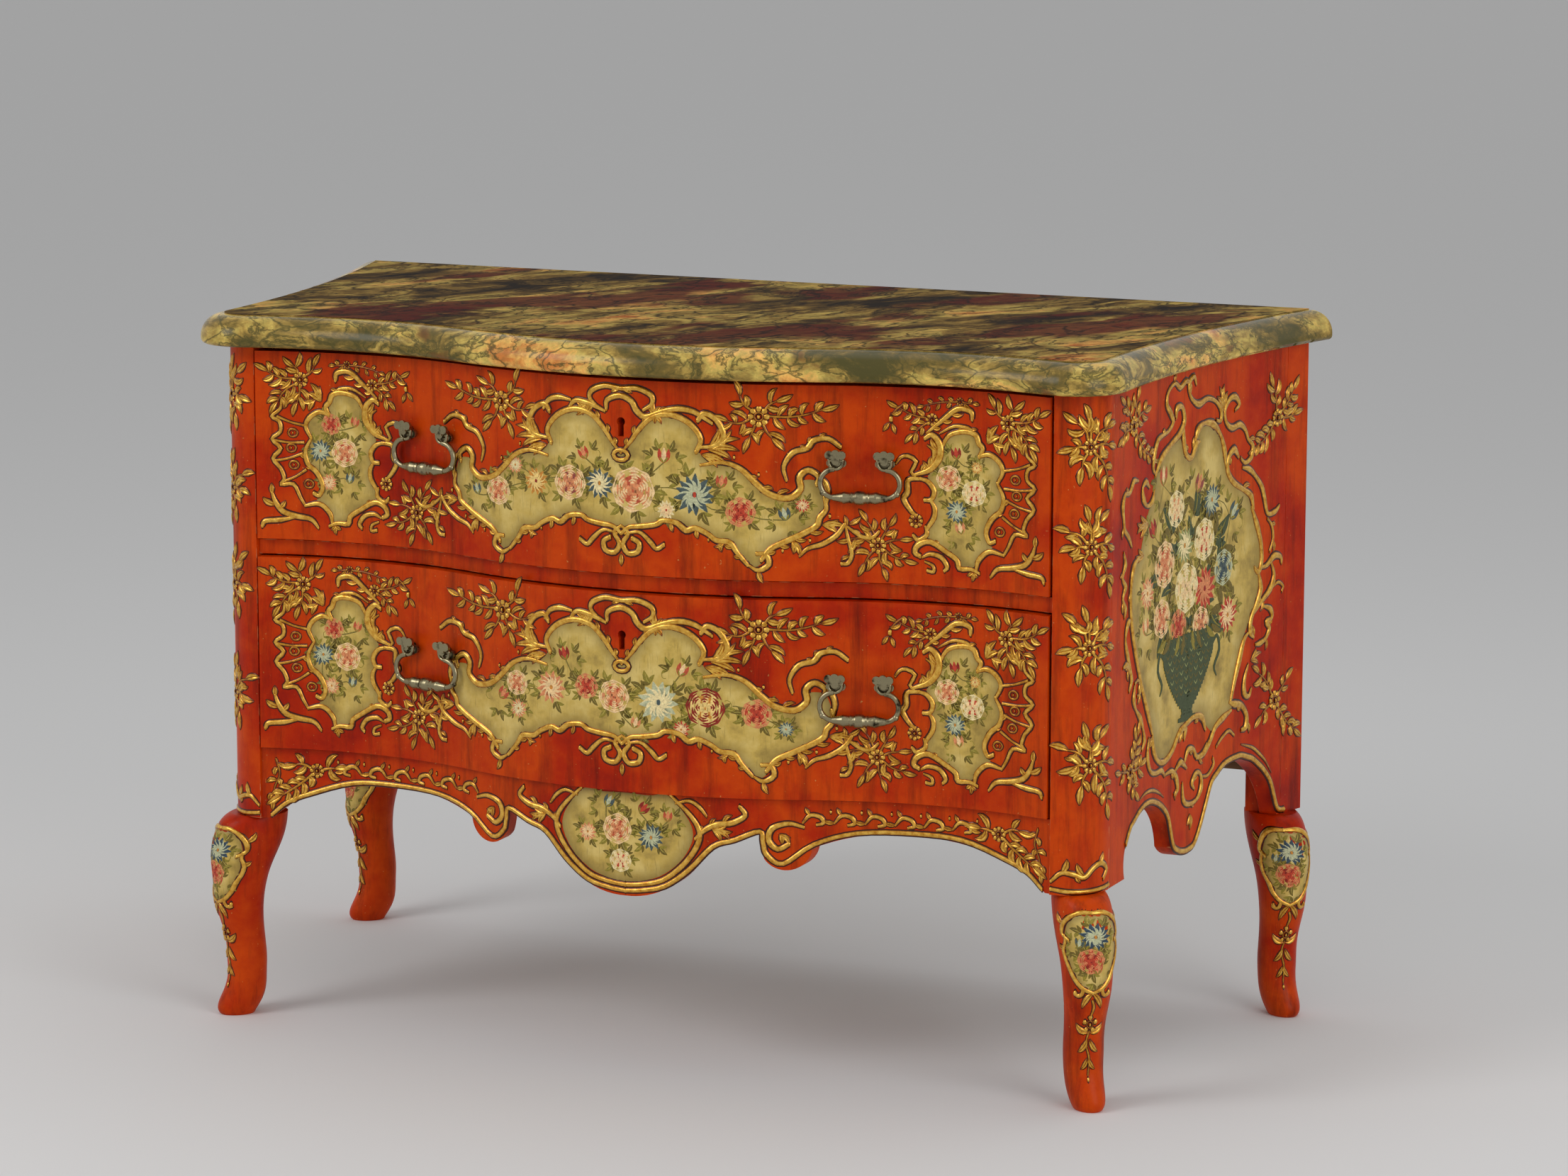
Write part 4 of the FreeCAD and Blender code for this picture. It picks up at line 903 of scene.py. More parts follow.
def coat(name, material):
    """Give a node that keeps its shape its finish."""
    item = frame["nodes"][name]
    item.data.materials.clear()
    item.data.materials.append(material_of(material))


# The right half of a drawer's gilding, in the upper drawer's heights


def drawer_frame_right():
    """Rocaille scrolls round the middle ground."""
    parts = [
        stroke([(0, 724), (12, 738), (22, 752), (38, 767), (60, 771), (82, 762), (95, 745), (90, 730)],
               (1.6, 3.0, 3.6, 3.8, 3.4, 3.0)),
        stroke([(92, 735), (112, 738), (121, 750), (113, 767), (99, 774), (92, 766)], (2.0, 3.6, 3.6, 3.0)),
        stroke([(95, 715), (120, 719), (140, 712), (156, 697), (172, 684), (192, 680), (205, 690),
                (204, 704), (213, 712), (224, 705), (222, 696)], (2.0, 3.6, 4.0, 3.6, 2.8)),
        stroke([(190, 700), (187, 716), (197, 732), (212, 737), (219, 746), (234, 748), (247, 739)],
               (1.8, 3.2, 3.4, 2.6)),
        stroke([(230, 681), (232, 668), (225, 658), (222, 649), (208, 640), (190, 631), (173, 622),
                (163, 609)], (2.2, 3.4, 3.6, 3.8, 2.8)),
        stroke([(224, 706), (231, 698), (234, 687), (232, 674)], (1.8, 3.2, 3.0, 2.2)),
        stroke([(252, 651), (243, 638), (228, 628), (213, 623), (204, 614)], (2.2, 3.2, 2.8, 1.5)),
        stroke([(150, 602), (160, 597), (171, 604), (168, 615), (158, 616)], (1.8, 3.4, 3.2, 2.6)),
        stroke([(148, 603), (136, 617), (128, 628), (113, 630), (103, 637), (89, 643), (78, 640),
                (67, 648), (51, 650), (42, 645), (25, 642), (10, 640), (0, 632)],
               (2.4, 3.6, 3.2, 3.8, 3.2, 3.4, 2.4)),
        stroke([(0, 641), (9, 633), (2, 621), (8, 610), (20, 612), (22, 622), (14, 627)],
               (2.0, 3.2, 3.4, 3.0)),
        stroke([(5, 632), (22, 635), (35, 625), (43, 617), (52, 622)], (1.6, 3.0, 2.6)),
        leaf((0, 609), -90, 15, 3.2),
        leaf((160, 597), -70, 16, 3.4, 20),
        leaf((60, 648), -75, 12, 3.0, 12), leaf((90, 642), -80, 12, 3.0, 12),
        leaf((118, 628), -85, 12, 3.0, 14),
    ]
    parts += leaf_fan((103, 733), -22, 62, 5, 40, 4.2)
    parts += feathers([(0, 724), (12, 738), (22, 752), (38, 767), (60, 771)], 1, 13, 3.0, 4)
    parts += feathers([(163, 609), (173, 622), (190, 631), (208, 640), (222, 649)], -1, 14, 3.0, 4)
    parts += feathers([(140, 712), (156, 697), (172, 684), (192, 680)], 1, 13, 2.8, 3)
    parts += feathers([(187, 716), (197, 732), (212, 737), (219, 746), (234, 748)], 1, 9, 2.4, 4)
    parts += feathers([(148, 603), (136, 617), (128, 628), (113, 630)], 1, 12, 2.8, 3)
    parts += leaf_fan((96, 727), -38, -2, 3, 32, 3.8)
    parts += leaf_fan((42, 767), 62, 128, 3, 20, 3.6)
    parts += leaf_fan((228, 650), -30, 20, 3, 26, 3.8)
    parts += leaf_fan((196, 632), -85, -45, 3, 22, 3.6)
    for place in ((122, 741, 2.6), (133, 725, 2.4), (160, 706, 2.4), (236, 660, 2.6), (240, 648, 2.2),
                  (215, 632, 2.4), (186, 620, 2.4), (104, 630, 2.2)):
        parts.append(dot(place[:2], place[2]))
    return parts


def drawer_crest():
    """The small crest over the keyhole, across the middle."""
    parts = [
        stroke([(-30, 776), (-39, 785), (-36, 794), (-20, 800), (0, 798), (20, 799), (37, 792), (38, 782),
                (28, 775)], (2.0, 3.4, 3.0, 3.4, 2.2)),
        stroke([(-18, 773), (-17, 784), (-1, 790), (13, 784), (19, 774), (30, 767), (49, 774), (69, 778),
                (88, 775), (108, 763)], (2.2, 3.8, 3.4, 4.0, 3.2, 3.8, 2.2)),
        stroke([(-20, 771), (-38, 778), (-57, 781), (-65, 773)], (2.0, 3.6, 3.2, 2.4)),
        stroke([(-64, 781), (-80, 783), (-93, 779), (-100, 769)], (2.0, 3.4, 3.2, 2.2)),
        ring((0, 722), 9, 6, 2.6, layer=1),
    ]
    parts += leaf_fan((-44, 778), 200, 255, 3, 20, 3.6) + leaf_fan((38, 772), -75, -20, 3, 18, 3.4)
    parts += leaf_fan((0, 797), 160, 200, 2, 18, 3.2) + leaf_fan((2, 797), -20, 20, 2, 18, 3.2)
    return parts


def drawer_sprays_right():
    """Leafy sprays between the grounds."""
    parts = flower_sprig((160, 772), 12, ((3, 56, 10, 4), (138, 20, -18, 1), (198, 24, -22, 2),
                                          (48, 14, -16, 1), (-62, 16, 10, 1), (-112, 14, 0, 1)), 21, 3.7, 21)
    parts += flower_sprig((289, 628), 9.5, ((112, 20, 8, 1), (62, 16, 0, 1), (20, 16, -10, 1),
                                            (-32, 24, 14, 2), (-82, 16, 8, 1), (-128, 16, 8, 1),
                                            (160, 22, 20, 2)), 18, 3.3, 31)
    parts += [
        stroke([(253, 650), (262, 643), (272, 637), (283, 637), (290, 644)], (1.4, 2.6, 2.8, 1.8)),
        stroke([(253, 649), (256, 634), (260, 618), (256, 607), (249, 606)], (1.4, 2.4, 2.6, 2.4)),
        leaf((256, 651), 35, 18, 3.2, 16), leaf((254, 648), 100, 14, 2.8, 10),
        leaf((257, 630), -20, 14, 2.8, -14), leaf((258, 615), 210, 12, 2.6, 14),
    ]
    parts += flower_sprig((350, 773), 7.5, ((166, 34, -10, 3), (216, 20, 8, 2)), 16, 3.1, 41)
    parts += flower_sprig((383, 795), 5.0, ((186, 38, 6, 3), (-6, 10, 0, 1)), 10, 2.6, 51)
    parts += [dot((303, 772), 4.2), leaf((301, 768), 235, 13, 2.8), leaf((304, 767), 290, 13, 2.8),
              stroke([(304, 777), (310, 784), (318, 790)], (1.0, 1.2, 1.0))]
    parts += flower_sprig((442, 775), 9.5, ((8, 32, 14, 3), (-38, 30, -14, 3), (142, 14, -16, 1),
                                            (70, 8, -20, 1), (-84, 18, 8, 2)), 19, 3.6, 61)
    parts += [
        stroke([(344, 758), (362, 773), (380, 787), (396, 785), (398, 776)], (1.6, 3.4, 3.6, 2.4)),
        stroke([(422, 600), (431, 610), (449, 613), (465, 618), (474, 629), (478, 640)],
               (1.8, 3.2, 3.6, 3.4, 1.8)),
        stroke([(449, 612), (468, 608), (486, 606), (490, 600)], (1.6, 3.2, 3.0, 2.4)),
        leaf((474, 626), 30, 18, 4.0, 20), leaf((470, 622), 130, 13, 3.2, -20), leaf((478, 638), 88, 14, 3.4),
    ]
    return parts


END_GROUND = [(362, 743), (371, 757), (389, 762), (402, 758), (408, 745), (409, 736), (420, 737),
              (431, 731), (435, 720), (430, 707), (436, 691), (433, 677), (423, 666), (416, 651),
              (419, 640), (424, 632), (416, 627), (407, 618), (404, 606), (396, 607), (384, 608),
              (380, 617), (368, 625), (350, 634), (343, 645), (350, 655), (353, 667), (350, 679),
              (352, 691), (345, 702), (348, 716), (357, 730)]
MAIN_HALF = [(0, 724), (12, 738), (20, 748), (30, 762), (50, 770), (75, 765), (90, 755), (97, 742),
             (93, 732), (100, 722), (115, 716), (140, 712), (150, 705), (165, 690), (180, 683),
             (195, 681), (203, 690), (205, 700), (222, 700), (228, 690), (231, 675), (226, 660),
             (220, 648), (208, 640), (190, 630), (172, 622), (165, 607), (155, 600), (148, 607),
             (135, 618), (128, 628), (110, 630), (100, 637), (85, 642), (68, 648), (50, 650),
             (40, 645), (25, 641), (0, 638)]


def drawer_end_right():
    """Scrolls, shell leaves and ladder work round the end ground."""
    parts = [
        stroke([(359, 758), (376, 767), (393, 766), (400, 760)], (1.2, 2.2, 2.4, 1.6)),
        stroke([(362, 743), (371, 757), (389, 762), (402, 759), (406, 750), (411, 744), (407, 735)],
               (2.0, 3.4, 3.6, 3.4, 2.8)),
        stroke([(407, 735), (419, 738), (431, 731), (436, 720), (430, 707)], (2.4, 3.4, 3.2, 2.0)),
        stroke([(429, 707), (437, 691), (434, 676), (423, 666), (416, 651), (420, 639), (427, 641)],
               (1.8, 3.2, 3.4, 3.0, 2.6)),
        stroke([(438, 626), (420, 629), (407, 618), (404, 605)], (2.0, 3.2, 3.2, 2.0)),
        stroke([(408, 603), (398, 607), (384, 607), (381, 616), (369, 624), (349, 635), (335, 631),
                (331, 622), (337, 618)], (2.0, 3.4, 3.2, 3.6, 2.8)),
        stroke([(340, 617), (349, 621), (362, 618), (369, 608), (366, 603)], (1.6, 3.0, 3.0, 2.2)),
        stroke([(343, 612), (352, 608), (353, 601), (346, 602)], (1.4, 2.4, 2.2)),
        stroke([(330, 710), (348, 717), (359, 731), (359, 746), (350, 756), (342, 752)],
               (2.0, 4.4, 4.6, 3.6, 2.6)),
        stroke([(339, 712), (350, 724), (352, 738), (345, 744)], (1.0, 2.2, 2.2, 1.2)),
        stroke([(309, 722), (314, 729), (322, 731), (332, 725), (326, 713), (331, 708)],
               (1.4, 2.4, 2.6, 1.8)),
        stroke([(337, 706), (323, 704), (322, 690), (318, 682), (326, 669), (332, 664)],
               (2.4, 3.4, 3.2, 2.0)),
        stroke([(336, 706), (346, 703), (353, 693), (350, 683), (342, 682)], (2.0, 3.4, 3.2, 2.4)),
        stroke([(349, 682), (354, 673), (353, 662), (346, 651), (344, 644)], (2.0, 3.4, 3.0, 2.0)),
        stroke([(343, 652), (345, 643), (335, 636), (329, 641)], (1.6, 3.0, 2.8, 2.2)),
        stroke([(465, 751), (467, 740), (477, 731), (468, 725), (467, 713), (477, 704), (467, 693),
                (476, 681), (467, 669), (463, 657), (467, 650), (452, 651), (444, 636), (438, 626)],
               (1.8, 2.6, 2.4, 2.8, 2.4, 2.6, 1.8)),
    ]
    parts += blossom((332, 658), 8.5)
    parts += feathers([(330, 710), (348, 717), (359, 731), (359, 746)], 1, 15, 3.4, 4)
    parts += feathers([(371, 757), (389, 762), (402, 759)], 1, 10, 2.6, 2)
    parts += feathers([(369, 624), (349, 635), (335, 631)], -1, 11, 2.8, 2)
    parts += feathers([(423, 666), (434, 676), (437, 691)], -1, 10, 2.6, 2)
    parts += feathers([(344, 758), (362, 773), (380, 787)], -1, 13, 3.0, 3)
    parts += leaf_fan((417, 750), 30, 88, 3, 26, 4.2) + leaf_fan((424, 752), -60, -10, 2, 22, 3.6)
    parts += leaf_fan((352, 716), 110, 170, 3, 17, 3.4)
    parts += leaf_fan((400, 604), -150, -40, 3, 12, 2.8)
    for start, end in (((437, 721), (471, 731)), ((438, 701), (477, 703)), ((440, 688), (475, 678)),
                       ((436, 669), (463, 654))):
        middle = ((start[0] + end[0]) / 2, (start[1] + end[1]) / 2 - 1.5)
        parts.append(stroke([start, middle, end], (1.9, 1.5, 1.9)))
    for x, z in ((452, 712), (454, 694), (451, 674), (433, 652)):
        parts.append(ring((x, z), 5.6, 4.8, 1.3))
        parts.append(dot((x, z), 1.7))
    return parts


def painted_leaves(centre, reach, headings, tones=("leaf", "leaf_dark", "leaf_pale")):
    """Round-bellied leaves near a flower, in threes, each with a rib of the third tone."""
    parts = []
    size = 5.5 + reach * 0.45
    for step, heading in enumerate(headings):
        start = turned(centre, reach * 0.88, heading)
        bend = 18 if step % 2 else -18
        for turn, share in ((0, 1.0), (52, 0.72), (-52, 0.72)):
            tone = tones[(step + (turn > 0)) % 2]
            parts.append(leaf(start, heading + turn, size * share, size * share * 0.25, bend, tone))
        parts.append(leaf(start, heading, size * 0.8, size * 0.03, bend, tones[2], 1))
    return parts


# Flowers lie from this layer up, over the leaves and stems
FLOWER_LAYER = 2


def painted_rose(centre, radius, dark, middle, pale, seed):
    """A full-blown rose: rings of curled petals, pale at their lips and dark in their folds."""
    chance = random.Random(seed)
    layer = FLOWER_LAYER
    parts = []
    for reach, count, first, lip in ((0.70, 8, 0, 0.078), (0.44, 6, 25, 0.070), (0.20, 4, 10, 0.064)):
        parts.append(dot(centre, radius * (reach + 0.10), dark, layer))
        for petal in range(count):
            angle = first + petal * 360 / count + chance.uniform(-8, 8)
            parts.append(dot(turned(centre, radius * reach, angle), radius * 0.27, middle, layer + 1))
            for out, half in ((0.25, 24), (0.13, 17)):
                rim = [turned(centre, radius * (reach + out - abs(step) * 0.0016), angle + step)
                       for step in (-half, 0, half)]
                widths = (radius * lip * 0.3, radius * lip, radius * lip * 0.3)
                parts.append(stroke(rim, widths, pale, False, layer + 2))
        layer += 3
    parts.append(dot(turned(centre, radius * 0.05, 270), radius * 0.09, dark, layer))
    return parts


def painted_daisy(centre, radius, petal_tone, pale, heart, seed):
    """An open flower: three rings of narrow petals, pale over a darker disc."""
    chance = random.Random(seed)
    count = 13
    layer = FLOWER_LAYER
    parts = [dot(centre, radius * 0.80, petal_tone, layer)]
    for reach, turn in ((1.0, 0), (0.76, 13), (0.48, 5)):
        for petal in range(count):
            angle = turn + petal * 360 / count + chance.uniform(-6, 6)
            base = turned(centre, radius * 0.12, angle)
            size = radius * reach * chance.uniform(0.80, 0.92)
            if reach == 1.0:
                parts.append(leaf(base, angle, size, radius * 2.6 / count, 0, petal_tone, layer))
            parts.append(leaf(base, angle - 6, size * 0.90, radius * 0.85 / count, 34, pale, layer + 1))
        layer += 1
    parts.append(dot(centre, radius * 0.17, heart, layer + 1))
    return parts


def painted_bud(base, heading, size, dark, pale):
    """A half-open bud on its green cup."""
    parts = []
    for turn, tone in ((-20, dark), (20, dark), (0, pale)):
        layer = FLOWER_LAYER + (tone == pale)
        parts.append(leaf(base, heading + turn, size, size * 0.22, -turn * 0.8, tone, layer))
    for turn in (-38, 38):
        parts.append(leaf(base, heading + turn, size * 0.5, size * 0.09, 0, "leaf", FLOWER_LAYER + 2))
    return parts


# Painted flowers are drawn this much fuller than their listed radius
FULLNESS = 1.14


def bouquet(flowers, seed):
    """Painted flowers given as (kind, centre, radius, tones), with leaves, stems and tendrils."""
    parts = []
    for index, (kind, centre, radius, tones) in enumerate(flowers):
        radius *= FULLNESS
        chance = random.Random(seed + index)
        headings = [heading + chance.uniform(-20, 20) for heading in (5, 52, 110, 165, 222, 300)]
        parts += painted_leaves(centre, radius * 1.05, headings)
        near = [other[1] for other in flowers[:index] if math.dist(other[1], centre) < 75]
        if near:
            joined = min(near, key=lambda spot: math.dist(spot, centre))
            bow = chance.uniform(-7, 7)
            middle = ((centre[0] + joined[0]) / 2 + bow, (centre[1] + joined[1]) / 2 + bow)
            parts.append(stroke([centre, middle, joined], (1.0, 0.7), "stem"))
        for heading in (chance.uniform(-20, 20), chance.uniform(160, 200)):
            parts.append(curl(turned(centre, radius * 0.9, heading), heading, radius * 1.5,
                              chance.choice((-230, 230)), 0.55, "leaf"))
        if kind == "rose":
            parts += painted_rose(centre, radius, *tones, seed + index)
        elif kind == "daisy":
            parts += painted_daisy(centre, radius, *tones, seed + index)
        else:
            parts += painted_bud(centre, chance.uniform(40, 140), radius, *tones)
    return parts


# A flower's tones, from its folds to its lips
PINK = ("pink_dark", "pink", "pink_pale")
RED = ("rose_dark", "rose", "pink")
BLUE = ("blue_dark", "blue", "blue_pale")
WHITE = ("rose", "pink_pale", "white")
GOLD = ("ochre", "ochre_pale", "rose_dark")

# Painted flowers as kind, centre, radius and tones
UPPER_FLOWERS = [
    ("rose", (15, 683), 23, PINK), ("daisy", (88, 681), 21, ("blue", "blue_pale", "rose")),
    ("rose", (140, 663), 15, RED), ("bud", (52, 716), 15, ("rose", "pink_pale")),
    ("rose", (-65, 686), 18, ("plum", "pink", "pink_pale")),
    ("daisy", (-27, 688), 16, ("blue", "white", "ochre")),
    ("daisy", (-111, 684), 14, ("ochre", "ochre_pale", "rose_dark")), ("rose", (-165, 668), 15, PINK),
    ("bud", (118, 690), 13, ("pink_dark", "pink")), ("bud", (190, 655), 13, ("blue", "blue_pale")),
    ("daisy", (207, 672), 7, ("rose", "pink_pale", "ochre")), ("bud", (-44, 715), 13, ("rose", "pink")),
    ("daisy", (55, 662), 10, ("white", "pink_pale", "rose")),
    ("bud", (-195, 660), 12, ("blue", "blue_pale")), ("daisy", (-140, 700), 9, ("pink", "white", "ochre")),
]
LOWER_FLOWERS = [
    ("daisy", (45, 440), 22, ("blue_pale", "white", "blue")), ("rose", (100, 437), 20, GOLD),
    ("rose", (158, 432), 15, RED), ("rose", (-10, 443), 17, PINK), ("rose", (-45, 452), 13, RED),
    ("daisy", (-92, 446), 17, ("pink", "pink_pale", "ochre")), ("rose", (-140, 446), 13, PINK),
    ("daisy", (-138, 416), 10, ("pink", "white", "ochre")), ("bud", (-165, 425), 14, ("pink_dark", "pink")),
    ("bud", (-72, 480), 14, ("rose_dark", "rose")), ("bud", (70, 472), 14, ("pink_dark", "pink_pale")),
    ("daisy", (190, 415), 8, ("blue", "blue_pale", "ochre")), ("bud", (15, 408), 12, ("pink", "pink_pale")),
    ("daisy", (72, 410), 9, ("rose", "pink_pale", "ochre")),
]
END_FLOWERS_RIGHT = [
    ("rose", (370, 708), 13, PINK), ("rose", (401, 693), 13, WHITE),
    ("daisy", (380, 671), 12, ("blue", "blue_pale", "ochre")), ("bud", (386, 646), 12, ("pink", "pink_pale")),
    ("bud", (380, 730), 12, ("rose_dark", "rose")), ("daisy", (404, 722), 6, ("ochre", "ochre_pale", "rose")),
]
END_FLOWERS_LEFT = [
    ("daisy", (-418, 692), 12, ("blue", "blue_pale", "ochre")), ("rose", (-387, 691), 15, PINK),
    ("rose", (-404, 724), 11, RED), ("daisy", (-408, 655), 9, ("pink", "pink_pale", "ochre")),
    ("bud", (-375, 722), 11, ("pink_dark", "pink")), ("bud", (-382, 655), 11, ("blue", "blue_pale")),
]
# The lower drawer's ornament lies this far below the upper's, in millimetres
DRAWER_DROP = 243.0
# The lower drawer's middle scrolls spread this much wider
LOWER_WIDER = 1.035


def apron_right():
    """Right half of the apron's scrolls: a beaded rim, a band of scrolls, and the lobe's leaves."""
    rim = [(488, 250), (469, 266), (440, 278), (387, 294), (330, 297), (264, 294), (217, 280),
           (184, 257), (166, 267), (162, 281), (158, 294), (130, 283), (105, 274), (77, 245), (48, 224),
           (20, 217), (0, 215)]
    parts = [stroke(rim[::-1], (2.6, 3.0, 2.8, 3.0, 2.6, 3.0, 2.4))]
    for index in range(6):
        x = 205 + index * 34
        parts.append(stroke([(x, 305), (x + 8, 314), (x + 19, 312), (x + 22, 305), (x + 15, 303)],
                            (1.4, 2.8, 2.6, 1.8)))
        parts.append(leaf((x + 22, 308), -8, 14, 3.0, 20))
        parts.append(dot((x + 30, 318), 2.4))
        parts.append(leaf((x + 8, 314), 120, 11, 2.6, -10))
    parts += flower_sprig((432, 306), 9, ((-38, 46, 4, 4), (168, 14, 6, 1), (20, 18, -18, 1)), 22, 4.4, 71)
    parts += [
        stroke([(206, 300), (190, 304), (172, 298), (168, 284), (178, 274), (190, 280)],
               (2.0, 3.4, 3.6, 2.8)),
        stroke([(85, 282), (96, 293), (110, 300), (128, 303), (142, 312), (136, 322)],
               (2.2, 3.6, 3.4, 2.4)),
        stroke([(56, 331), (80, 308), (90, 290), (86, 272), (70, 250), (46, 231), (20, 224), (0, 222)],
               (2.2, 3.2, 3.4, 3.0, 2.8)),
        stroke([(62, 322), (78, 326), (90, 319), (98, 309)], (1.6, 2.8, 1.6)),
    ]
    parts += leaf_fan((104, 296), -55, 15, 4, 26, 3.8)
    parts += leaf_fan((180, 292), -80, -20, 3, 18, 3.2)
    parts += spray([(482, 318), (478, 300), (484, 284), (486, 268)], 13, 3.2, 11)
    parts += feathers([(85, 282), (96, 293), (110, 300), (128, 303)], 1, 13, 3.0, 3)
    return parts


APRON_GROUND = [(-52, 331), (-30, 329), (0, 330), (30, 329), (52, 331), (74, 308), (82, 290), (79, 273),
                (66, 253), (44, 236), (20, 228), (0, 226), (-20, 228), (-44, 236), (-66, 253), (-79, 273),
                (-82, 290), (-74, 308)]
APRON_FLOWERS = [
    ("rose", (-10, 287), 16, PINK), ("rose", (-6, 250), 12, WHITE),
    ("daisy", (32, 280), 14, ("blue", "blue_pale", "ochre")), ("bud", (-24, 312), 13, ("blue", "blue_pale")),
    ("bud", (18, 308), 13, ("rose_dark", "rose")), ("daisy", (-48, 280), 10, ("pink", "pink_pale", "ochre")),
    ("bud", (52, 300), 11, ("pink_dark", "pink")),
]

# The side's drawings count backwards from this far before the case's middle, in millimetres
SIDE_START = 203.0
# That place lies this far round the corner from the post's front edge
SIDE_SHIFT = 61.7
SIDE_GROUND = [(154, 699), (177, 722), (206, 730), (222, 730), (229, 714), (245, 707), (260, 722),
               (268, 737), (293, 739), (312, 726), (329, 707), (333, 685), (352, 666), (385, 643),
               (397, 620), (412, 595), (416, 566), (414, 532), (397, 499), (381, 474), (370, 441),
               (360, 410), (352, 389), (320, 378), (314, 372), (297, 382), (281, 397), (256, 399),
               (235, 393), (218, 378), (202, 366), (181, 364), (164, 372), (152, 399), (135, 428),
               (116, 457), (100, 491), (85, 528), (79, 562), (85, 593), (106, 612), (116, 632),
               (131, 660), (147, 676)]
SIDE_FLOWERS = [
    ("bud", (172, 684), 20, ("pink_dark", "pink_pale")), ("bud", (262, 664), 20, ("plum", "pink")),
    ("rose", (208, 652), 19, ("pink", "pink_pale", "white")),
    ("daisy", (300, 650), 18, ("blue", "blue_pale", "ochre")), ("bud", (345, 622), 20, ("blue", "blue_pale")),
    ("bud", (150, 628), 20, ("rose_dark", "rose")), ("rose", (178, 592), 24, PINK),
    ("rose", (282, 606), 22, WHITE), ("daisy", (232, 606), 20, ("teal_pale", "white", "ochre")),
    ("rose", (330, 566), 19, BLUE), ("daisy", (130, 566), 17, ("pink", "pink_pale", "ochre")),
    ("rose", (238, 556), 26, ("leaf_pale", "pink_pale", "white")),
    ("daisy", (285, 548), 23, ("rose", "pink", "rose_dark")), ("rose", (172, 530), 20, PINK),
    ("rose", (218, 514), 18, RED), ("rose", (276, 508), 18, ("plum", "pink", "pink_pale")),
    ("daisy", (342, 508), 19, ("rose", "pink_pale", "ochre")), ("bud", (128, 518), 18, ("pink", "pink_pale")),
]


# Scrolls of the side: the frame of its ground, the second line outside it, and the lower scrolls
SIDE_FRAME = [
    [(104, 612), (86, 602), (79, 575), (82, 542), (95, 506), (114, 466), (134, 430), (150, 400)],
    [(148, 698), (165, 716), (190, 728), (214, 738), (226, 752), (220, 768), (206, 768), (204, 758)],
    [(223, 752), (225, 728), (232, 712), (246, 706), (258, 720), (266, 722)],
    [(256, 724), (262, 736), (278, 742), (300, 738), (318, 724), (328, 704), (333, 684)],
    [(362, 692), (352, 702), (339, 695), (336, 680), (350, 664), (374, 652), (392, 642), (398, 626)],
    [(394, 628), (406, 606), (416, 582), (418, 560), (411, 549), (403, 555)],
    [(412, 548), (417, 528), (408, 510), (397, 495), (395, 480), (403, 472)],
    [(390, 478), (380, 470), (370, 448), (360, 424), (352, 402)],
    [(350, 402), (362, 398), (378, 394), (390, 380), (388, 366), (379, 364)],
    [(354, 392), (334, 386), (316, 378), (304, 364), (288, 352), (270, 350)],
    [(292, 380), (283, 396), (262, 400), (240, 394), (226, 388), (210, 374)],
    [(238, 378), (240, 390), (226, 390), (206, 370), (184, 361), (166, 366), (154, 380), (150, 398)],
]
SIDE_OUTER = [
    [(150, 700), (142, 708), (145, 724), (154, 738), (168, 742), (184, 745), (196, 754), (188, 766),
     (178, 776), (182, 790), (200, 798), (214, 791), (230, 797), (242, 790), (240, 780)],
    [(256, 790), (250, 800), (238, 794), (240, 780), (252, 770), (266, 766), (286, 770), (306, 764),
     (319, 752), (318, 740), (308, 742)],
    [(352, 748), (362, 754), (352, 764), (338, 762), (328, 750), (332, 736), (346, 728), (364, 730),
     (377, 722), (384, 710), (394, 702), (391, 688), (378, 683), (367, 690)],
    [(372, 678), (388, 674), (402, 664), (416, 650), (423, 634), (430, 616), (446, 616), (455, 622)],
    [(430, 610), (440, 600), (443, 584), (436, 570)],
    [(414, 553), (430, 554), (446, 563), (460, 560), (462, 552)],
    [(440, 556), (446, 540), (438, 524), (420, 512), (400, 498)],
    [(444, 526), (456, 530), (466, 524), (464, 518)],
    [(424, 506), (440, 500), (443, 489), (431, 486), (438, 477), (430, 466), (418, 462), (408, 462)],
    [(392, 440), (384, 424), (384, 408), (394, 402), (400, 410)],
    [(98, 700), (84, 701), (72, 690), (58, 690), (50, 678), (54, 662), (57, 650), (70, 640), (80, 628)],
    [(146, 682), (140, 670), (126, 667), (114, 677), (112, 690), (122, 695), (131, 688)],
    [(56, 624), (60, 610), (52, 596), (61, 585), (54, 572), (62, 560), (60, 550)],
    [(84, 545), (71, 541), (64, 525), (70, 506), (80, 490), (84, 474), (78, 462)],
    [(58, 492), (70, 494), (80, 482)],
    [(96, 466), (92, 450), (100, 437), (113, 425), (122, 411), (126, 397), (120, 387)],
    [(96, 468), (108, 470), (113, 456), (104, 452)],
    [(140, 396), (136, 376), (145, 358), (160, 352), (178, 352), (186, 344)],
    [(186, 345), (206, 346), (218, 336), (222, 321), (213, 317)],
    [(214, 344), (230, 352), (246, 342)],
    [(235, 326), (238, 306), (252, 298), (272, 300), (283, 312), (282, 328), (270, 332), (260, 322),
     (266, 314)],
    [(286, 325), (300, 324), (314, 334), (312, 342)],
    [(240, 350), (248, 363), (262, 362), (270, 352), (283, 350), (296, 362)],
    [(320, 354), (334, 363), (350, 368), (362, 361)],
]
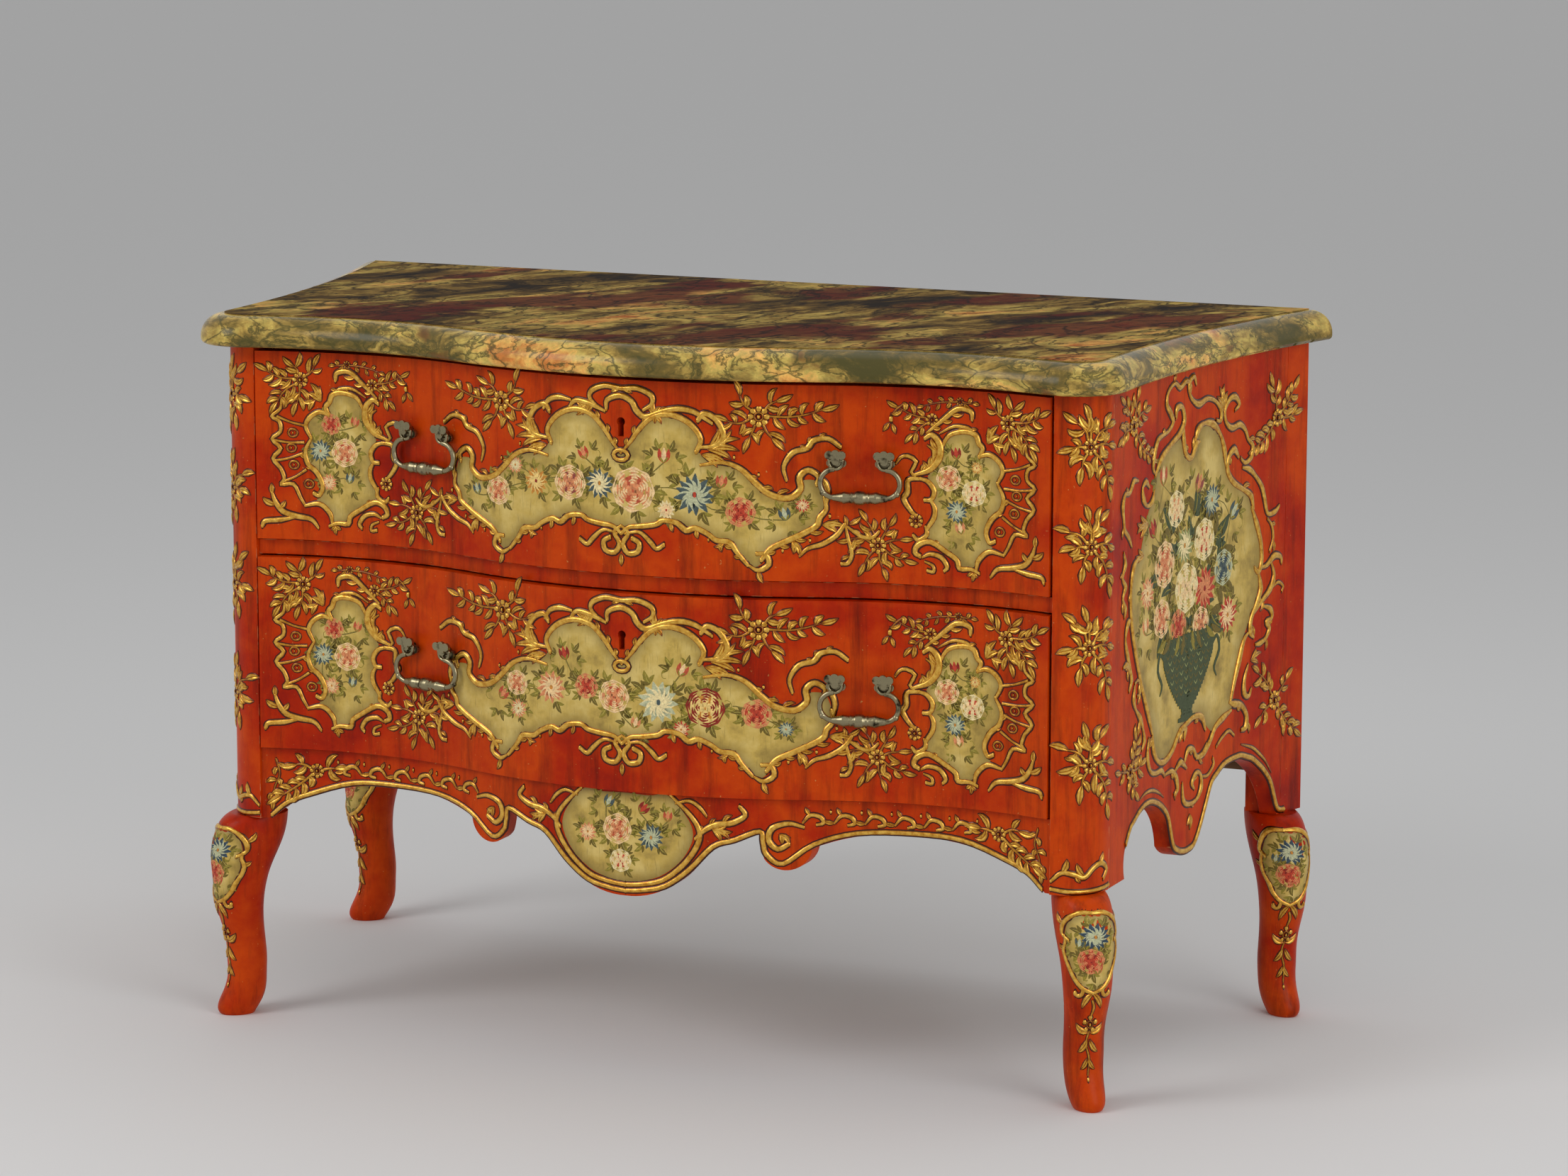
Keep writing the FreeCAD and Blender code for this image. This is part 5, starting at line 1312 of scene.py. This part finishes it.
SIDE_SPRIGS = [
    ((82, 764), 12, ((130, 26, 10, 2), (70, 18, 0, 1), (-42, 58, 12, 4), (25, 24, -10, 2), (190, 22, 10, 2))),
    ((448, 728), 11, ((38, 34, 10, 3), (218, 44, -14, 4), (-4, 24, 10, 2), (100, 28, 8, 2))),
    ((452, 388), 12, ((-48, 48, 8, 4), (128, 40, 12, 3), (40, 20, 0, 1), (205, 20, 10, 1))),
    ((84, 368), 10, ((56, 34, 10, 3), (-58, 20, 8, 2), (170, 18, 0, 1), (0, 22, 10, 2))),
]


def side_gilding(rim):
    """Scrolls round the side's ground, sprays in its corners, and a rim along its lower edge."""
    middle = (250, 560)
    parts = [stroke(run, (2.2, 5.2, 2.9, 5.2, 2.9, 4.8, 2.4)) for run in SIDE_FRAME]
    parts += [stroke(run, (1.8, 4.3, 2.3, 4.4, 2.3, 4.0, 1.9)) for run in SIDE_OUTER]
    for run in SIDE_FRAME[::2]:
        parts += feathers(run, 1, 15, 3.4, 2, middle)
    for run in SIDE_OUTER[::2]:
        parts += feathers(run, 1, 13, 3.0, 2, middle)
    for index, (centre, radius, arms) in enumerate(SIDE_SPRIGS):
        parts += flower_sprig(centre, radius, arms, 21, 4.0, 200 + 10 * index)
    parts += leaf_fan((130, 646), 150, 212, 4, 36, 4.6) + leaf_fan((324, 752), 62, 132, 4, 32, 4.2)
    parts += leaf_fan((118, 612), 150, 200, 3, 26, 4.0) + leaf_fan((256, 286), 240, 300, 3, 20, 3.6)
    parts += leaf_fan((398, 444), -20, 50, 3, 26, 3.4) + leaf_fan((152, 396), 190, 240, 3, 18, 3.4)
    parts += [stroke(rim, (3.0, 3.4, 3.2)),
              stroke([(u, v + 13) for u, v in rim[3:9]], (0.8, 2.2, 2.2, 0.8)),
              stroke([(u, v + 13) for u, v in rim[-8:-2]], (0.8, 2.2, 2.2, 0.8))]
    return parts


def post_gilding():
    """Sprigs one above the other on the rounded corner, as arc length round it and height."""
    parts = []
    for index, (x, z, size) in enumerate(((42, 753, 0.95), (44, 641, 0.9), (43, 527, 0.95), (46, 394, 1.0))):
        lean = 16 if index % 2 else -10
        arms = ((122 + lean, 24 * size, 20, 1), (-52, 46 * size, -16, 3), (58 + lean, 24 * size, -24, 2),
                (-118, 16 * size, 14, 1), (178, 9, 12, 1), (6, 18 * size, -16, 1), (92, 20, 10, 1))
        parts += flower_sprig((x, z), 9.5, arms, 23 * size, 4.4, 400 + 10 * index)
    parts += [
        stroke([(2, 262), (14, 272), (28, 270), (40, 266), (52, 276), (64, 280), (74, 272), (68, 262)],
               (2.0, 3.2, 3.0, 3.4, 2.6)),
        stroke([(2, 253), (26, 250), (54, 250), (80, 252)], (2.4, 2.8, 2.4)),
        leaf((14, 272), 70, 18, 3.8, 20), leaf((40, 268), 120, 18, 3.8, -20),
        leaf((60, 280), 60, 15, 3.4, 18), leaf((30, 270), -60, 12, 3.0, 10),
    ]
    return parts


def lower_edge(hand, side):
    """The side's lower edge in the side's drawing, as places along it and heights a little above it.

    From below the edge a ray is raised by 1 mm at a time until it meets the side.
    """
    tree = outer_faces(side_nodes(hand))
    edge = []
    for u in np.linspace(74, 476, 30):
        z = 235.0
        while not tree.ray_cast(Vector((side * FAR, u - SIDE_START, z)), Vector((-side, 0, 0)), FAR)[0]:
            z += 1.0
        edge.append((float(u), z + 4.5))
    return edge


KNEE_GROUND = [(-29, 208), (-17, 226), (0, 229), (17, 226), (29, 208), (32, 188), (27, 166), (14, 148),
               (0, 142), (-14, 148), (-27, 166), (-32, 188)]
# A blue flower over a red one, with buds
KNEE_FLOWERS = [
    ("daisy", (3, 205), 13, ("blue_dark", "blue_pale", "ochre")), ("rose", (-2, 177), 13, RED),
    ("bud", (6, 162), 12, ("pink_dark", "pink")), ("bud", (-16, 192), 10, ("blue", "blue_pale")),
]


def leg_gilding():
    """A framed ground on the knee, with leaves and a blossom down the shin."""
    parts = []
    for side in (-1, 1):
        parts += [
            stroke([(0, 231), (side * 16, 230), (side * 29, 219), (side * 35, 205), (side * 27, 199)],
                   (2.2, 3.6, 3.4, 2.6)),
            stroke([(side * 31, 203), (side * 36, 186), (side * 29, 165), (side * 15, 147), (0, 140)],
                   (2.2, 3.6, 3.2, 2.2)),
            curl((side * 14, 148), 270 - side * 40, 28, side * 200, 3.0),
            leaf((0, 140), 270 - side * 34, 24, 4.0, side * 16),
            leaf((side * 34, 188), 90 - side * 70, 13, 3.0, side * 20),
            leaf((side, 92), 90 - side * 62, 24, 4.2, side * 24),
            leaf((side * 2, 84), 270 + side * 42, 22, 4.0, side * 22),
            leaf((side, 62), 270 + side * 38, 18, 3.4, side * 22),
            leaf((side * 32, 216), 90 - side * 50, 18, 3.4, side * 20),
        ]
    parts += blossom((0, 102), 11, 5, 90)
    parts += [stroke([(0, 132), (3, 122), (0, 111)], (1.6, 2.0, 1.2)),
              stroke([(0, 93), (-3, 78), (2, 60), (0, 42)], (1.4, 1.8, 1.2)),
              dot((0, 37), 3.0)]
    return parts


# The vase stands here on the side, in the side's drawing
VASE_MIDDLE = 243
# Half the vase's width at heights from its rim to its foot
VASE_HEIGHTS = (500, 488, 472, 454, 438, 424, 412, 406, 400)
VASE_HALVES = (60, 66, 64, 53, 40, 27, 12, 15, 26)
# The vase lies over the flowers, its scales over that, and the leaves over its rim on top
VASE_LAYER = 12


def vase():
    """A broad green bowl on a foot, with rows of scales and two handles, that holds the flowers."""
    parts = []
    for row, z in enumerate(np.arange(498, 399, -4.0)):
        half = float(np.interp(-z, [-height for height in VASE_HEIGHTS], VASE_HALVES))
        parts.append(stroke([(VASE_MIDDLE - half, z), (VASE_MIDDLE, z), (VASE_MIDDLE + half, z)],
                            (2.6, 4.2, 2.6), "teal", False, VASE_LAYER))
        if row % 2 == 0 and z > 428:
            count = int(half / 6.6)
            for step in range(count):
                x = VASE_MIDDLE + (step - (count - 1) / 2) * 12.5 + (3 if row % 4 else -3)
                tone = "teal_pale" if (step * 7 + row) % 3 == 0 else "leaf_dark"
                parts.append(stroke([(x - 4.5, z + 2), (x, z - 2.5), (x + 4.5, z + 2)], (0.4, 1.0, 0.4),
                                    tone, False, VASE_LAYER + 2))
    for side in (-1, 1):
        handle = [(VASE_MIDDLE + side * across, z)
                  for across, z in ((60, 478), (74, 488), (80, 470), (68, 452), (74, 440))]
        parts.append(stroke(handle, (3.0, 2.6, 2.8, 2.4, 0.8), "teal", False, VASE_LAYER))
    for step in range(11):
        parts.append(leaf((VASE_MIDDLE - 60 + step * 12, 503), 205 + step * 13, 25, 5.0,
                          14 if step > 5 else -14, ("leaf", "leaf_dark", "teal")[step % 3], VASE_LAYER + 4))
    return parts


def side_bouquet():
    """The vase and its flowers before a mass of darker leaves."""
    parts = []
    for reach, turn in ((84, 8), (52, 20)):
        headings = [turn + step * 24 for step in range(15)]
        parts += painted_leaves((244, 566), reach, headings, ("leaf_dark", "teal", "leaf"))
    return parts + bouquet(SIDE_FLOWERS, 90) + vase()


# How far the finer edges are worn round: the top's mouldings, the drawer boxes and the handles
TOP_ROUND = 0.5 * MM
BOX_ROUND = 0.6 * MM
HANDLE_ROUND = 0.25 * MM


class CHEST_OT_carcass(bpy.types.Operator):
    """Finish the case: posts, sides, rails, apron and back."""

    bl_idname = "chest.carcass"
    bl_label = "Case"

    def execute(self, context):
        upright = ("lacquer_over_gesso", "wood_upright")
        for hand, side in HANDS:
            dress(f"front_post_{hand}", upright, lambda centre, normal, side=side:
                  0 if normal.x * side > 0.02 or normal.y < -0.3 else 1)
            dress(f"rear_post_{hand}", upright, lambda centre, normal, side=side:
                  0 if normal.x * side > 0.3 else 1)
            dress(f"side_panel_{hand}", upright, lambda centre, normal, side=side:
                  0 if normal.x * side > 0.05 or normal.z < -0.3 else 1)
        across = ("lacquer_over_gesso", "wood_across")
        for name in ("front_top_rail", "middle_rail", "bottom_rail"):
            dress(name, across, lambda centre, normal: 0 if normal.y < -0.3 else 1)
        dress("front_apron", across, lambda centre, normal: 1 if normal.y > 0.3 else 0)
        for name in ("back_board_lower", "back_board_upper"):
            dress(name, ("wood_across",))
        return {"FINISHED"}


class CHEST_OT_top(bpy.types.Operator):
    """Finish the moulded top, painted like marble."""

    bl_idname = "chest.top"
    bl_label = "Top"

    def execute(self, context):
        for name in ("top_front_board", "top_rear_board"):
            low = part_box(name)[0].z / MM
            dress(name, ("painted_marble", "wood_across"),
                  lambda centre, normal, low=low: 1 if normal.z < -0.9 and centre.z < low + 0.5 else 0,
                  TOP_ROUND)
        return {"FINISHED"}


class CHEST_OT_legs(bpy.types.Operator):
    """Finish the curved legs."""

    bl_idname = "chest.legs"
    bl_label = "Legs"

    def execute(self, context):
        for end in ("front", "rear"):
            for hand, _ in HANDS:
                dress(f"{end}_leg_{hand}", ("lacquer_over_gesso",))
        return {"FINISHED"}


class CHEST_OT_drawers(bpy.types.Operator):
    """Finish the drawers' fronts and boxes."""

    bl_idname = "chest.drawers"
    bl_label = "Drawers"

    def execute(self, context):
        for level in LEVELS:
            dress(f"{level}_drawer_front", ("lacquer_over_gesso", "wood_across"),
                  lambda centre, normal: 1 if normal.y > 0.3 else 0)
            for hand, _ in HANDS:
                dress(f"{level}_drawer_side_{hand}", ("wood_deep",), edge_round=BOX_ROUND)
            dress(f"{level}_drawer_back", ("wood_across",), edge_round=BOX_ROUND)
            coat(f"{level}_drawer_bottom", "wood_across")
        return {"FINISHED"}


class CHEST_OT_handles(bpy.types.Operator):
    """Finish the handles: posts with raised petals, and the hanging bails."""

    bl_idname = "chest.handles"
    bl_label = "Handles"

    def execute(self, context):
        for level in LEVELS:
            for hand, _ in HANDS:
                for name in (f"{level}_handle_posts_{hand}", f"{level}_bail_{hand}"):
                    dress(name, ("cast_brass",), edge_round=HANDLE_ROUND)
        return {"FINISHED"}


class CHEST_OT_fittings(bpy.types.Operator):
    """Finish the locks and the pieces inside the case."""

    bl_idname = "chest.fittings"
    bl_label = "Locks and inner pieces"

    def execute(self, context):
        iron = ("nails", "screws", "nuts", "lock", "bolt")
        taken = {child.name for child in bpy.data.objects if child.name.endswith("_finished")}
        for name in frame["nodes"]:
            if f"{name}_finished" in taken or name.endswith("drawer_bottom"):
                continue
            if any(word in name for word in iron):
                coat(name, "forged_iron")
            elif any(word in name for word in ("runner", "guide")):
                coat(name, "wood_deep")
            else:
                coat(name, "wood_across")
        return {"FINISHED"}


class CHEST_OT_drawer_ornament(bpy.types.Operator):
    """Gild and paint the drawer fronts."""

    bl_idname = "chest.drawer_ornament"
    bl_label = "Drawer ornament"

    def execute(self, context):
        main = MAIN_HALF + [(-u, v) for u, v in MAIN_HALF[-2:0:-1]]
        for level, drop, wide, flowers, seed in (("upper", 0.0, 1.0, UPPER_FLOWERS, 3),
                                                 ("lower", -DRAWER_DROP, LOWER_WIDER, LOWER_FLOWERS, 7)):
            body = f"{level}_drawer"
            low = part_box(f"{level}_drawer_front")[0].z / MM
            surface = front_surface(f"{level}_drawer_front", low + 15, 494.0)
            right = shifted(drawer_frame_right(), wide=wide) + drawer_sprays_right() + drawer_end_right()
            whole = right + flipped(right) + drawer_crest()
            lay(f"{level}_front_gilding", shifted(whole, up=drop), surface, body)
            field(f"{level}_middle_ground", [(u * wide, v + drop) for u, v in main], surface, body)
            for hand, side in HANDS:
                outline = [(side * u, v + drop) for u, v in END_GROUND]
                field(f"{level}_end_ground_{hand}", outline, surface, body)
            ends = shifted(bouquet(END_FLOWERS_RIGHT + END_FLOWERS_LEFT, 40), up=drop)
            lay(f"{level}_front_flowers", bouquet(flowers, seed) + ends, surface, body, True)
        return {"FINISHED"}


class CHEST_OT_case_ornament(bpy.types.Operator):
    """Gild and paint the apron, the corners, the sides and the legs."""

    bl_idname = "chest.case_ornament"
    bl_label = "Case ornament"

    def execute(self, context):
        right = apron_right()
        apron = front_surface("front_apron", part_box("front_apron")[1].z / MM - 4, 490)
        lay("apron_gilding", right + flipped(right), apron, "case")
        field("apron_ground", APRON_GROUND, apron, "case")
        lay("apron_flowers", bouquet(APRON_FLOWERS, 60), apron, "case", True)
        for hand, side in HANDS:
            corner = corner_surface(hand, side)
            lay(f"post_gilding_{hand}", post_gilding(), corner, "case")
            scrolls = shifted(side_gilding(lower_edge(hand, side)), SIDE_SHIFT)
            lay(f"side_gilding_{hand}", scrolls, corner, "case")
            outline = [(u + SIDE_SHIFT, v) for u, v in SIDE_GROUND]
            field(f"side_ground_{hand}", outline, corner, "case", 12, 26)
            lay(f"side_flowers_{hand}", shifted(side_bouquet(), SIDE_SHIFT), corner, "case", True)
            for end, facing in (("front", -58), ("rear", -54)):
                leg = f"{end}_leg_{hand}"
                shin = leg_surface(leg, facing if side == 1 else 180 - facing)
                lay(f"{end}_leg_gilding_{hand}", leg_gilding(), shin, "case")
                field(f"{end}_leg_ground_{hand}", KNEE_GROUND, shin, "case", 7, 10)
                lay(f"{end}_leg_flowers_{hand}", bouquet(KNEE_FLOWERS, 301), shin, "case", True)
        return {"FINISHED"}


# Lamps as name, place in metres, width in metres and power in watts; all face the chest's middle
LAMPS = (
    ("key", (-2.6, -3.4, 3.2), 2.4, 64),
    ("fill", (3.6, -1.9, 1.8), 2.6, 44),
    ("over", (0.3, 0.6, 3.6), 2.6, 14),
)
LAMP_AIM = (0, 0, 0.45)
# The world's strength as light, and as what is seen or reflected
WORLD_LIGHT = 0.42
WORLD_SEEN = 0.66
# The camera fitted to the photograph: its place, and its turn to the left, down and over in radians
CAMERA_PLACE = (2.4733, -5.6972, 1.6308)
CAMERA_YAW, CAMERA_PITCH, CAMERA_ROLL = 0.39803, 0.17676, 0.00147
CAMERA_LENS = 122.06


def add_floor(scene):
    """A plain pale floor."""
    work = bmesh.new()
    bmesh.ops.create_grid(work, x_segments=1, y_segments=1, size=30)
    mesh = bpy.data.meshes.new("floor")
    work.to_mesh(mesh)
    work.free()
    floor = bpy.data.objects.new("floor", mesh)
    scene.collection.objects.link(floor)
    # Matt paper, which shows a soft shadow and no reflection
    material, _, shader = new_material("floor_paper", Roughness=0.9)
    shader.inputs["Base Color"].default_value = (0.80, 0.80, 0.80, 1)
    mesh.materials.append(material)


def add_world(scene):
    """A white world that is brighter to the camera and in reflections than as light."""
    world = bpy.data.worlds.new("studio")
    scene.world = world
    world.use_nodes = True
    tree = world.node_tree
    seen = node(tree, "Math", {0: node(tree, "LightPath", out="Is Camera Ray"),
                               1: node(tree, "LightPath", out="Is Glossy Ray")}, operation="MAXIMUM")
    seen = node(tree, "Math", {0: seen, 1: node(tree, "LightPath", out="Is Transmission Ray")},
                operation="MAXIMUM")
    level = node(tree, "MapRange", {"Value": seen, "To Min": WORLD_LIGHT, "To Max": WORLD_SEEN})
    background = tree.nodes["Background"]
    tree.links.new(level, background.inputs["Strength"])
    background.inputs["Color"].default_value = (1, 1, 1, 1)


def add_lamps(scene):
    """Wide soft lamps."""
    for name, place, size, power in LAMPS:
        lamp = bpy.data.lights.new(name, "AREA")
        lamp.shape = "DISK"
        lamp.size = size
        lamp.energy = power
        item = bpy.data.objects.new(name, lamp)
        item.location = place
        item.rotation_euler = (Vector(LAMP_AIM) - Vector(place)).to_track_quat("-Z", "Y").to_euler()
        scene.collection.objects.link(item)


def add_camera(scene):
    """The camera at the photograph's angle."""
    yaw, pitch, roll = CAMERA_YAW, CAMERA_PITCH, CAMERA_ROLL
    forward = Vector((-math.sin(yaw) * math.cos(pitch), math.cos(yaw) * math.cos(pitch), -math.sin(pitch)))
    level = Vector((math.cos(yaw), math.sin(yaw), 0))
    up = level.cross(forward)
    right = level * math.cos(roll) + up * math.sin(roll)
    top = up * math.cos(roll) - level * math.sin(roll)
    lens = bpy.data.cameras.new("camera")
    lens.lens = CAMERA_LENS
    lens.sensor_width = 36
    camera = bpy.data.objects.new("camera", lens)
    turn = Matrix((right, top, -forward)).transposed().to_4x4()
    camera.matrix_world = Matrix.Translation(CAMERA_PLACE) @ turn
    scene.collection.objects.link(camera)
    scene.camera = camera


class CHEST_OT_stage(bpy.types.Operator):
    """Set the floor, the soft lamps and the camera at the photograph's angle."""

    bl_idname = "chest.stage"
    bl_label = "Stage"

    def execute(self, context):
        scene = bpy.context.scene
        scene.view_settings.view_transform = "Standard"
        add_floor(scene)
        add_world(scene)
        add_lamps(scene)
        add_camera(scene)
        return {"FINISHED"}


STEPS = (CHEST_OT_carcass, CHEST_OT_top, CHEST_OT_legs, CHEST_OT_drawers, CHEST_OT_handles,
         CHEST_OT_fittings, CHEST_OT_drawer_ornament, CHEST_OT_case_ornament, CHEST_OT_stage)


class CHEST_PT_panel(bpy.types.Panel):
    """The chest's steps, sizes and colours."""

    bl_idname = "CHEST_PT_panel"
    bl_label = "Chest"
    bl_space_type = "VIEW_3D"
    bl_region_type = "UI"
    bl_category = "Chest"

    def draw(self, context):
        for step in STEPS:
            self.layout.operator(step.bl_idname)
        for group in (context.scene.chest_sizes, context.scene.chest_colours):
            for key in group.__annotations__:
                self.layout.prop(group, key)


CLASSES = (ChestSizes, ChestColours, *STEPS, CHEST_PT_panel)


def register():
    """Add the panel, the operators and their settings."""
    for made in CLASSES:
        bpy.utils.register_class(made)
    bpy.types.Scene.chest_sizes = bpy.props.PointerProperty(type=ChestSizes)
    bpy.types.Scene.chest_colours = bpy.props.PointerProperty(type=ChestColours)


def unregister():
    """Take them away again."""
    del bpy.types.Scene.chest_sizes, bpy.types.Scene.chest_colours
    for made in reversed(CLASSES):
        bpy.utils.unregister_class(made)


def main():
    """Make every piece in order."""
    register()
    for step in STEPS:
        area, _, name = step.bl_idname.partition(".")
        getattr(getattr(bpy.ops, area), name)()
    for kind in SECTIONS:
        bpy.data.objects.remove(bpy.data.objects[f"{kind} section"])
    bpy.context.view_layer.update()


if __name__ == "__main__":
    main()
